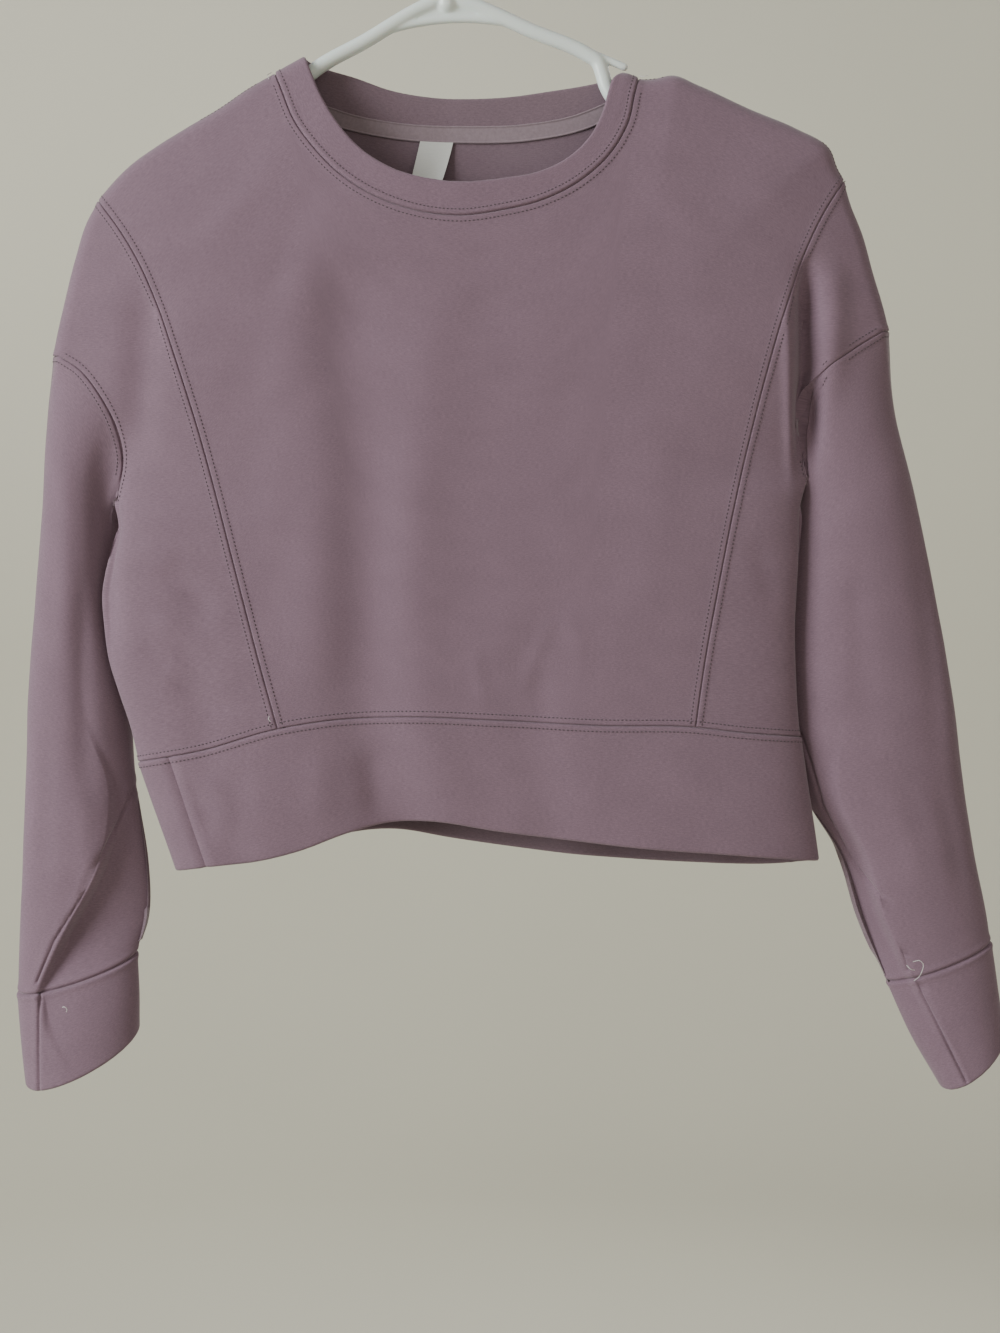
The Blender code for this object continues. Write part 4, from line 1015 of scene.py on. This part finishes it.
def neck_label(mats):
    """A bare label of one layer, hung from the tape's lower edge."""
    width, drop, thickness = LABEL_SIZE
    row_count, column_count = LABEL_GRID
    wave_height, wave_turns, wave_start = LABEL_WAVE
    across = np.linspace(-0.5, 0.5, column_count)
    middle = LABEL_CENTRE_X + across * width
    seam_z = z_at(NECK_SEAM["back"], middle)
    top_z = seam_z - TAPE_BELOW + LABEL_LAP
    rows = []
    for share in np.linspace(0, 1, row_count):
        x = middle + LABEL_TURN * share
        z = top_z - drop * share
        behind = cloth_y(x, z, "back") - WALL - TAPE_WALL - LABEL_CLEAR
        curled = np.where(across > 0, LABEL_CORNERS[1], LABEL_CORNERS[0])
        corner = (np.abs(across) * 2) ** 3 * share ** 2 * curled
        lift = LABEL_LEAN * share ** 1.5 + LABEL_CURL * corner
        wave = wave_height * np.sin(across * wave_turns + wave_start) * share
        rows.append(np.stack([x - corner * LABEL_PINCH * np.sign(across), behind - lift + wave, z], -1))
    return even_wall("woven_neck_label", rows, thickness, mats)


# ---- hanger ----

HANGER_TILT = math.radians(3.4)
TUBE_RADIUS = 4.5
ARM_PEAK_Z = -96.0
ARM_SLOPE = 0.502
WEB_HALF_WIDTH = 52.0
WEB_THICKNESS = 3.2
WEB_LOWER_Z = -111.0
WEB_DROP = 9.0          # its lower edge falls this far towards its ends
WEB_TOP = (8.0, -98.0)  # half width, z
RIB_RADIUS = 2.6        # along the web's lower edge
PEG_RADIUS = 2.4
PEG_LIFT = 2.2          # its top runs on from the arm's
PEG_SPAN = (80.0, 104.0)
NOTCH = ((88, -141.5), (90.5, -149), (92.5, -157), (97, -165), (104, -169), (112, -170),
         (121, -168.5), (130, -166))
NOTCH_SPAN = (83, 140)
ARM_BEND = (150.0, 300.0)   # from this x the arm bends down, with this radius
ARM_END_X = 187.0
END_TURN_RADIUS = 10.0
BOSS = (6.0, -102.0, -82.0)   # radius, foot and top of the block that takes the hook
HOOK_RADIUS = 3.6
HOOK_INNER_RADIUS = 20.0
HOOK_FOOT_Z = -81.7
HOOK_NECK = ((0, -66), (1.5, -58))    # x, z
HOOK_SWEEP = (-62, 205)     # degrees
ARM_STATIONS = ((0, 4), (12, 12), (50, 50))   # x, and the x whose height it takes: a rounded peak
BEND_STATIONS = 4
TURN_STEPS = 6
BAR_STATIONS = (100, 50)
TUBE_STEP = 1.5
HOOK_STEP = 1.2
TUBE_SIDES = 32
HOOK_SIDES = 28
RIB_SIDES = 20
DOME_ANGLES = (80, 60, 40, 20)      # rings of a tube's rounded end, in degrees
WEB_STATIONS, PEG_STATIONS, BOSS_STATIONS, HOOK_STATIONS = 33, 12, 8, 15
MOULDED_VOXEL = 0.9
MOULDED_SOFTENING = (0.5, 6)        # factor, rounds


def arm_z(x):
    """Height of the tube's centre line along the straight arm."""
    return ARM_PEAK_Z - ARM_SLOPE * x


def tilted(points):
    """From the hanger's own frame to the model's."""
    c, s = math.cos(HANGER_TILT), math.sin(HANGER_TILT)
    return np.array([(x * c - z * s, y, x * s + z * c) for x, y, z in points])


def half_frame_path():
    """Right half of the tube's loop: x, z from the peak to the middle of the lower bar."""
    start, end = NOTCH_SPAN
    arm = [(x, arm_z(high)) for x, high in (*ARM_STATIONS, (start, start))]
    bend_from, bend_radius = ARM_BEND
    outer = [(end, arm_z(end))]
    for x in np.linspace(bend_from, ARM_END_X, BEND_STATIONS):
        outer.append((x, arm_z(x) - (x - bend_from) ** 2 / bend_radius))
    centre_z = outer[-1][1] - END_TURN_RADIUS
    turn = []
    for i in range(1, TURN_STEPS + 1):
        angle = math.radians(90 - 180 * i / TURN_STEPS)
        turn.append((ARM_END_X + END_TURN_RADIUS * math.cos(angle),
                     centre_z + END_TURN_RADIUS * math.sin(angle)))
    bar = [(x, centre_z - END_TURN_RADIUS) for x in BAR_STATIONS]
    return arm + list(NOTCH) + outer + turn + bar


def smooth_path(points, step, closed=False):
    """Evenly spaced points on the smooth line through a path."""
    points = np.asarray(points, float)
    if closed:
        points = np.concatenate([points[-3:], points, points[:4]])
    run = run_along(points)
    first, last = (run[3], run[-4]) if closed else (run[0], run[-1])
    at = np.linspace(first, last, math.ceil((last - first) / step) + 1)
    return np.stack([hermite(at, run, column) for column in points.T], -1)[:len(at) - bool(closed)]


def sweep(bm, path, radius, sides=TUBE_SIDES, closed=False):
    """A round tube along a path, from circles joined edge to edge; open ends are rounded."""
    path = np.asarray(path, float)
    stations = [(place, radius) for place in path]
    ways = np.gradient(path, axis=0)
    if closed:
        ways = np.roll(path, -1, 0) - np.roll(path, 1, 0)
    else:
        dome = [math.radians(angle) for angle in DOME_ANGLES]
        start, end = (way / np.linalg.norm(way) for way in (ways[0], ways[-1]))
        head = [(path[0] - start * radius * math.sin(a), radius * math.cos(a)) for a in dome]
        tail = [(path[-1] + end * radius * math.sin(a), radius * math.cos(a)) for a in dome[::-1]]
        stations = head + stations + tail
        ways = np.concatenate([[start] * len(dome), ways, [end] * len(dome)])
    rings = []
    side = Vector((0.0, 1.0, 0.0))
    for (place, size), way in zip(stations, ways):
        along_tube = Vector(way).normalized()
        side = (side - along_tube * side.dot(along_tube)).normalized()
        other = along_tube.cross(side)
        turned = Matrix((side, other, along_tube)).transposed().to_4x4()
        turned.translation = Vector(place)
        made = bmesh.ops.create_circle(bm, segments=sides, radius=size, matrix=turned)["verts"]
        rings.append(list({edge for vert in made for edge in vert.link_edges}))
    pairs = list(zip(rings, rings[1:] + rings[:1] if closed else rings[1:]))
    for first, second in pairs:
        bmesh.ops.bridge_loops(bm, edges=first + second)
    if not closed:
        bmesh.ops.holes_fill(bm, edges=rings[0] + rings[-1], sides=0)


def web_outline():
    """Lower edge of the hanger's web."""
    shares = np.linspace(-1, 1, WEB_STATIONS)
    return [(WEB_HALF_WIDTH * share, 0.0, WEB_LOWER_Z - WEB_DROP * share ** 2) for share in shares]


def moulded(name, bm, mat):
    """Fuse overlapping shapes into one moulded body with soft joins."""
    bmesh.ops.recalc_face_normals(bm, faces=bm.faces)
    guide = finish_mesh(name + "_form", bm, mat)
    remesh = guide.modifiers.new("fuse", "REMESH")
    remesh.mode = "VOXEL"
    remesh.voxel_size = MOULDED_VOXEL * MM
    smooth = guide.modifiers.new("soften", "SMOOTH")
    smooth.factor, smooth.iterations = MOULDED_SOFTENING
    bpy.context.view_layer.update()
    mesh = bpy.data.meshes.new_from_object(guide.evaluated_get(bpy.context.evaluated_depsgraph_get()))
    bpy.data.objects.remove(guide)
    mesh.name = name
    mesh.shade_smooth()
    item = in_scene(name, mesh)
    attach(item, "root")
    return item


def hanger(mat):
    """Tube with strap notches, web with its rib, pegs and the hook's boss, as one moulding."""
    bm = bmesh.new()
    right = half_frame_path()
    loop = right + [(-x, z) for x, z in right[::-1][:-1]]
    sweep(bm, smooth_path(tilted([(x, 0, z) for x, z in loop]), TUBE_STEP, closed=True), TUBE_RADIUS,
          closed=True)
    lower = web_outline()
    top_x, top_z = WEB_TOP
    rim = [(x, -WEB_THICKNESS / 2, z) for x, _, z in lower]
    rim += [(top_x, -WEB_THICKNESS / 2, top_z), (-top_x, -WEB_THICKNESS / 2, top_z)]
    face = bm.faces.new([bm.verts.new(point) for point in tilted(rim)])
    pushed = bmesh.ops.extrude_face_region(bm, geom=[face], use_keep_orig=True)["geom"]
    bmesh.ops.translate(bm, vec=(0, WEB_THICKNESS, 0),
                        verts=[item for item in pushed if isinstance(item, bmesh.types.BMVert)])
    sweep(bm, tilted(lower), RIB_RADIUS, sides=RIB_SIDES)
    for sign in (-1, 1):
        line = [(sign * x, 0, arm_z(x) + PEG_LIFT) for x in np.linspace(*PEG_SPAN, PEG_STATIONS)]
        sweep(bm, tilted(line), PEG_RADIUS, sides=RIB_SIDES)
    boss_radius, boss_foot, boss_top = BOSS
    boss = [(0, 0, z) for z in np.linspace(boss_foot, boss_top - boss_radius, BOSS_STATIONS)]
    sweep(bm, tilted(boss), boss_radius)
    return moulded("moulded_hanger", bm, mat)


def hook(mat):
    """A plain hook whose inner top is the origin."""
    radius = HOOK_INNER_RADIUS + HOOK_RADIUS
    path = [(0, 0, HOOK_FOOT_Z + HOOK_RADIUS)] + [(x, 0, z) for x, z in HOOK_NECK]
    for angle in np.radians(np.linspace(*HOOK_SWEEP, HOOK_STATIONS)):
        path.append((radius * math.cos(angle), 0, radius * math.sin(angle) - HOOK_INNER_RADIUS))
    bm = bmesh.new()
    sweep(bm, smooth_path(tilted(path), HOOK_STEP), HOOK_RADIUS, sides=HOOK_SIDES)
    bmesh.ops.recalc_face_normals(bm, faces=bm.faces)
    return finish_mesh("round_hook", bm, mat)


# Loose ends of white thread: x, y, z of each point
THREAD_ENDS = (
    ((-220, -21, -700), (-218.5, -22.5, -699.5), (-217, -22.5, -701), (-217.5, -22, -702.5)),
    ((281, -22, -673), (284.5, -24, -672), (286.5, -24, -674), (286, -23.5, -678), (284, -23, -682),
     (281.5, -22.5, -684)),
    ((282, -22, -678), (279, -23.5, -677), (277, -23, -675)),
    ((121, -4, -146), (123.5, -6.5, -147), (126, -7, -146.5)),
    ((-99, -4, -144), (-101, -6, -146), (-100, -8, -149)),
    ((-97, -25.5, -531.5), (-98, -26, -530), (-97.5, -26.3, -528.5)),
)
THREAD_RADIUS = 0.2
THREAD_STATIONS = 12
THREAD_SIDES = 6


def thread_ends(mat):
    """The loose ends of thread, as one piece."""
    bm = bmesh.new()
    for points in THREAD_ENDS:
        sweep(bm, along(points, np.linspace(0, 1, THREAD_STATIONS)), THREAD_RADIUS, sides=THREAD_SIDES)
    bmesh.ops.recalc_face_normals(bm, faces=bm.faces)
    return finish_mesh("thread_ends", bm, mat)


# ---- finishes ----

class Finish:
    """A material being built: its shader and short ways to add nodes."""

    def __init__(self, name, color, roughness, **inputs):
        self.material = bpy.data.materials.new(name)
        self.material.use_nodes = True
        self.material.diffuse_color = (*color, 1.0)
        self.nodes = self.material.node_tree.nodes
        self.shader = self.nodes["Principled BSDF"]
        self.color = color
        self.shader.inputs["Roughness"].default_value = roughness
        for key, value in inputs.items():
            self.shader.inputs[key.replace("_", " ")].default_value = value

    def link(self, source, target):
        self.material.node_tree.links.new(source, target)

    def add(self, kind, **inputs):
        node = self.nodes.new(kind)
        for key, value in inputs.items():
            node.inputs[key.replace("_", " ")].default_value = value
        return node

    def place(self, scale, uv=True):
        """Coordinates on the piece, scaled to repeats for each metre along each axis."""
        if uv:
            source = self.add("ShaderNodeUVMap")
            source.uv_map = UV_NAME
            output = source.outputs["UV"]
        else:
            output = self.add("ShaderNodeTexCoord").outputs["Object"]
        mapping = self.add("ShaderNodeMapping", Scale=scale)
        self.link(output, mapping.inputs["Vector"])
        return mapping.outputs["Vector"]

    def noise(self, where, detail=3.0, roughness=0.6):
        node = self.add("ShaderNodeTexNoise", Scale=1.0, Detail=detail, Roughness=roughness)
        self.link(where, node.inputs["Vector"])
        return node.outputs["Fac"]

    def wave(self, where, direction):
        node = self.add("ShaderNodeTexWave", Scale=1.0, Distortion=1.2, Detail=1.0)
        node.bands_direction = direction
        self.link(where, node.inputs["Vector"])
        return node.outputs["Fac"]

    def ramp(self, value, low, high):
        """Stretch a value's middle range to low and high."""
        node = self.add("ShaderNodeMapRange", From_Min=0.3, From_Max=0.7, To_Min=low, To_Max=high)
        self.link(value, node.inputs["Value"])
        return node.outputs["Result"]

    def math(self, operation, first, second):
        node = self.nodes.new("ShaderNodeMath")
        node.operation = operation
        for value, socket in ((first, node.inputs[0]), (second, node.inputs[1])):
            if isinstance(value, float):
                socket.default_value = value
            else:
                self.link(value, socket)
        return node.outputs["Value"]

    def shade(self, *factors):
        """Base colour times factors that vary over the piece."""
        whole = factors[0]
        for factor in factors[1:]:
            whole = self.math("MULTIPLY", whole, factor)
        node = self.nodes.new("ShaderNodeVectorMath")
        node.operation = "SCALE"
        node.inputs[0].default_value = self.color
        self.link(whole, node.inputs["Scale"])
        self.link(node.outputs["Vector"], self.shader.inputs["Base Color"])

    def bump(self, height, strength, distance):
        node = self.add("ShaderNodeBump", Strength=strength, Distance=distance * MM)
        self.link(height, node.inputs["Height"])
        earlier = self.shader.inputs["Normal"].links
        if earlier:
            self.link(earlier[0].from_socket, node.inputs["Normal"])
        self.link(node.outputs["Normal"], self.shader.inputs["Normal"])


def brushed_knit(name, color, nap=1.0):
    """Fine heathered knit: short streaks along the courses, a soft nap over tiny loops."""
    finish = Finish(name, color, 0.93, Sheen_Weight=0.28, Sheen_Roughness=0.45,
                    Specular_IOR_Level=0.25)
    streaks = finish.noise(finish.place((420, 1500, 1)), 2.0)
    heather = finish.noise(finish.place((1300, 2600, 1)), 2.0)
    clouds = finish.noise(finish.place((30, 45, 1)), 2.0)
    finish.shade(finish.ramp(streaks, 0.87, 1.13), finish.ramp(heather, 0.88, 1.12),
                 finish.ramp(clouds, 0.965, 1.035))
    finish.bump(finish.noise(finish.place((700, 1500, 1)), 4.0, 0.7), 0.5 * nap, 0.16)
    finish.bump(finish.wave(finish.place((180, 250, 1)), "Y"), 0.10, 0.05)
    return finish.material


def taped_twill(name, color):
    """Plain tape with a fine weave."""
    finish = Finish(name, color, 0.85, Sheen_Weight=0.15, Specular_IOR_Level=0.3)
    where = finish.place((500, 900, 500), uv=False)
    finish.shade(finish.ramp(finish.noise(where, 2.0), 0.92, 1.08))
    finish.bump(finish.noise(where, 3.0), 0.5, 0.12)
    return finish.material


def woven_satin(name, color):
    """Smooth label cloth, woven across."""
    finish = Finish(name, color, 0.48, Sheen_Weight=0.1, Specular_IOR_Level=0.5)
    weave = finish.noise(finish.place((300, 300, 4200), uv=False), 2.0)
    finish.shade(finish.ramp(weave, 0.95, 1.03))
    finish.bump(weave, 0.35, 0.05)
    return finish.material


def spun_thread(name, color):
    """Sewing thread, uneven along its length."""
    finish = Finish(name, color, 0.7, Sheen_Weight=0.2)
    finish.shade(finish.ramp(finish.noise(finish.place((900, 900, 900), uv=False)), 0.85, 1.15))
    return finish.material


def moulded_plastic(name, color):
    """White plastic with a satin gloss, faint flow marks and a little dust."""
    finish = Finish(name, color, 0.3, Specular_IOR_Level=0.5, Coat_Weight=0.15,
                    Coat_Roughness=0.2, Subsurface_Weight=0.05)
    flow = finish.noise(finish.place((9, 9, 30), uv=False), 3.0)
    finish.shade(finish.ramp(flow, 0.97, 1.02))
    finish.link(finish.ramp(flow, 0.26, 0.36), finish.shader.inputs["Roughness"])
    finish.bump(finish.noise(finish.place((160, 160, 160), uv=False), 2.0), 0.06, 0.1)
    return finish.material


def studio_paint(name, color):
    """Matt paint of the room."""
    finish = Finish(name, color, 0.95, Specular_IOR_Level=0.1)
    finish.shade(finish.ramp(finish.noise(finish.place((1.2, 1.2, 1.2), uv=False), 1.0), 0.985, 1.01))
    return finish.material


# ---- the whole piece, in parts ----

HEM_SIDE_SEAM = {"left": -156.8, "right": 201.0}   # x of the hem bands' side seams


def build_grids():
    """The outer face of every knit piece, by the name of its node."""
    grids = {face + "_panel": centre_panel(face) for face in FACES}
    for side in SIDES:
        grids["side_panel_" + side] = side_panel(side)
        grids["sleeve_" + side] = sleeve(side, armhole_loop(grids["side_panel_" + side]))
        grids["cuff_" + side] = cuff(side, grids["sleeve_" + side][-1])
    front, back = grids["front_panel"], grids["back_panel"]
    grids["neckband"] = neckband(front, back)
    ring = hem_ring(front, back, grids["side_panel_left"], grids["side_panel_right"])
    columns = grids["side_panel_right"].shape[1]
    right_back = (columns // 2 + 1) + len(front[0]) + columns // 2
    left_split = np.argmin(np.abs(ring[:columns // 2 + 1, 0] - HEM_SIDE_SEAM["left"]))
    right_split = right_back + np.argmin(np.abs(ring[right_back:right_back + columns // 2, 0]
                                                - HEM_SIDE_SEAM["right"]))
    grids["hem_band_front"] = hem_band(ring[left_split:right_split + 1])
    grids["hem_band_back"] = hem_band(np.concatenate([ring[right_split:], ring[1:left_split + 1]]))
    return grids


# Studio, in metres
STUDIO_FLOOR_Z = -1.7
STUDIO_RADIUS = 4.4
STUDIO_SWEEP = 1.2          # radius of the turn from the floor up to the wall
STUDIO_HEIGHT = 3.2
STUDIO_SIDES = 96
STUDIO_TURN = (-80, 0, 9)   # degrees from, to, and points
STUDIO_PIN = 0.001          # radius at the floor's middle, closed by the weld
STUDIO_WELD = 0.002
SUBJECT = (0.04, 0.0, -0.45)

# Lights: name, place, aim, size, watts, colour
LIGHTS = (
    ("window", (-2.3, -1.35, 0.25), SUBJECT, (1.3, 1.8), 95, (0.97, 1.0, 0.99)),
    ("room", (1.4, -2.4, -0.1), SUBJECT, (2.2, 2.0), 9, (1.0, 0.93, 0.84)),
    ("back_room", (0.9, 2.4, 0.4), SUBJECT, (1.8, 1.8), 14, (1.0, 0.99, 0.97)),
    ("wall_wash", (-0.9, 1.6, 1.5), (-0.4, 4.4, -0.2), (2.4, 1.0), 60, (1.0, 1.0, 0.96)),
)
AIR_COLOR = (1.0, 0.97, 0.93, 1.0)
AIR_STRENGTH = 0.42


def stage():
    """A pale round floor, swept up into a wall all round."""
    bm = bmesh.new()
    flat_radius, turn_z = STUDIO_RADIUS - STUDIO_SWEEP, STUDIO_FLOOR_Z + STUDIO_SWEEP
    profile = [(STUDIO_PIN, STUDIO_FLOOR_Z), (flat_radius, STUDIO_FLOOR_Z)]
    for angle in np.radians(np.linspace(*STUDIO_TURN)):
        profile.append((flat_radius + STUDIO_SWEEP * math.cos(angle),
                        turn_z + STUDIO_SWEEP * math.sin(angle)))
    profile.append((STUDIO_RADIUS, STUDIO_FLOOR_Z + STUDIO_HEIGHT))
    line = [bm.verts.new((x, 0.0, z)) for x, z in profile]
    edges = [bm.edges.new(pair) for pair in zip(line, line[1:])]
    bmesh.ops.spin(bm, geom=line + edges, cent=(0, 0, 0), axis=(0, 0, 1), angle=math.tau,
                   steps=STUDIO_SIDES, use_merge=True)
    bmesh.ops.remove_doubles(bm, verts=bm.verts, dist=STUDIO_WELD)
    bmesh.ops.recalc_face_normals(bm, faces=bm.faces)
    mesh = bpy.data.meshes.new("studio")
    bm.to_mesh(mesh)
    bm.free()
    mesh.shade_smooth()
    mesh.materials.append(studio_paint("studio_paint", (0.60, 0.585, 0.50)))
    item = in_scene("studio", mesh)


def area_light(name, place, aim, size, power, color):
    """A rectangular light that the camera doesn't see."""
    light = bpy.data.lights.new(name, "AREA")
    light.shape = "RECTANGLE"
    light.size, light.size_y = size
    light.energy = power
    light.color = color
    item = in_scene(name, light)
    item.location = place
    item.rotation_euler = (Vector(aim) - Vector(place)).to_track_quat("-Z", "Y").to_euler()
    item.visible_camera = False


def lights():
    """A window at the left, the room's own light, and light on the walls."""
    for row in LIGHTS:
        area_light(*row)
    world = bpy.data.worlds.new("studio_air")
    world.use_nodes = True
    world.node_tree.nodes["Background"].inputs["Color"].default_value = AIR_COLOR
    world.node_tree.nodes["Background"].inputs["Strength"].default_value = AIR_STRENGTH
    bpy.context.scene.world = world


# Camera, in metres
CAMERA_DISTANCE = 1.15
CAMERA_AIM = (0.0378, -0.4992)     # x, z of the picture's middle
PICTURE_HEIGHT = 0.8               # at the hanger's plane
SENSOR = 36.0                      # in millimetres


def camera():
    """Level and in front, as the photo was taken."""
    view = bpy.data.cameras.new("camera")
    view.sensor_width = SENSOR
    view.lens = SENSOR * CAMERA_DISTANCE / PICTURE_HEIGHT
    item = in_scene("camera", view)
    item.location = (CAMERA_AIM[0], -CAMERA_DISTANCE, CAMERA_AIM[1])
    item.rotation_euler = (math.pi / 2, 0.0, 0.0)
    bpy.context.scene.camera = item


def dress():
    """Put a finished piece in the place of every solid."""
    knit = brushed_knit("mauve_knit", (0.208, 0.136, 0.180))
    # Darker than the outer knit: the knit's own inner face, with painted shade inside the garment.
    inside = brushed_knit("mauve_knit_inside_painted_shade", (0.185, 0.127, 0.158), nap=1.6)
    twill = taped_twill("tape_knit", (0.26, 0.198, 0.228))
    satin = woven_satin("label_satin", (0.62, 0.62, 0.61))
    # Much darker than the cloth: the thread's own tone, with painted shade of the stitch holes.
    thread = spun_thread("mauve_thread_painted_shade", (0.065, 0.042, 0.055))
    loose_thread = spun_thread("white_thread", (0.6, 0.58, 0.57))
    plastic = moulded_plastic("white_plastic", (0.80, 0.86, 0.84))

    grids = build_grids()
    sheets = {}
    for name, points in grids.items():
        hole = None
        if name.startswith("side_panel"):
            hole = ((ARMHOLE_FIRST, ARMHOLE_LAST), (FRONT_SIDE, BACK_SIDE))
        sheets[name] = sheet(points, hole)
    for name, line in INNER_SEAMS.items():
        refine(sheets[name], line)
    normals = shared_normals(sheets)

    pieces = {}
    seams = {name: piece_lines(name, points) for name, points in grids.items()}
    for name, bm in sheets.items():
        wall = shape_cloth(name, bm, normals[name], seams[name])
        piece = cloth_wall("knit_" + name, bm, normals[name], wall, (knit, inside))
        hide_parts(name)
        pieces[name] = piece

    sewn_on = topstitching(grids, pieces, thread), thread_ends(loose_thread)

    for node, piece, slot in (("neck_tape", neck_tape((twill,)), "tape_knit"),
                              ("neck_label", neck_label((satin,)), "label_satin")):
        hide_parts(node)
    for node, piece in (("hanger", hanger(plastic)), ("hanger_hook", hook(plastic))):
        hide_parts(node)


dress()
stage()
lights()
camera()
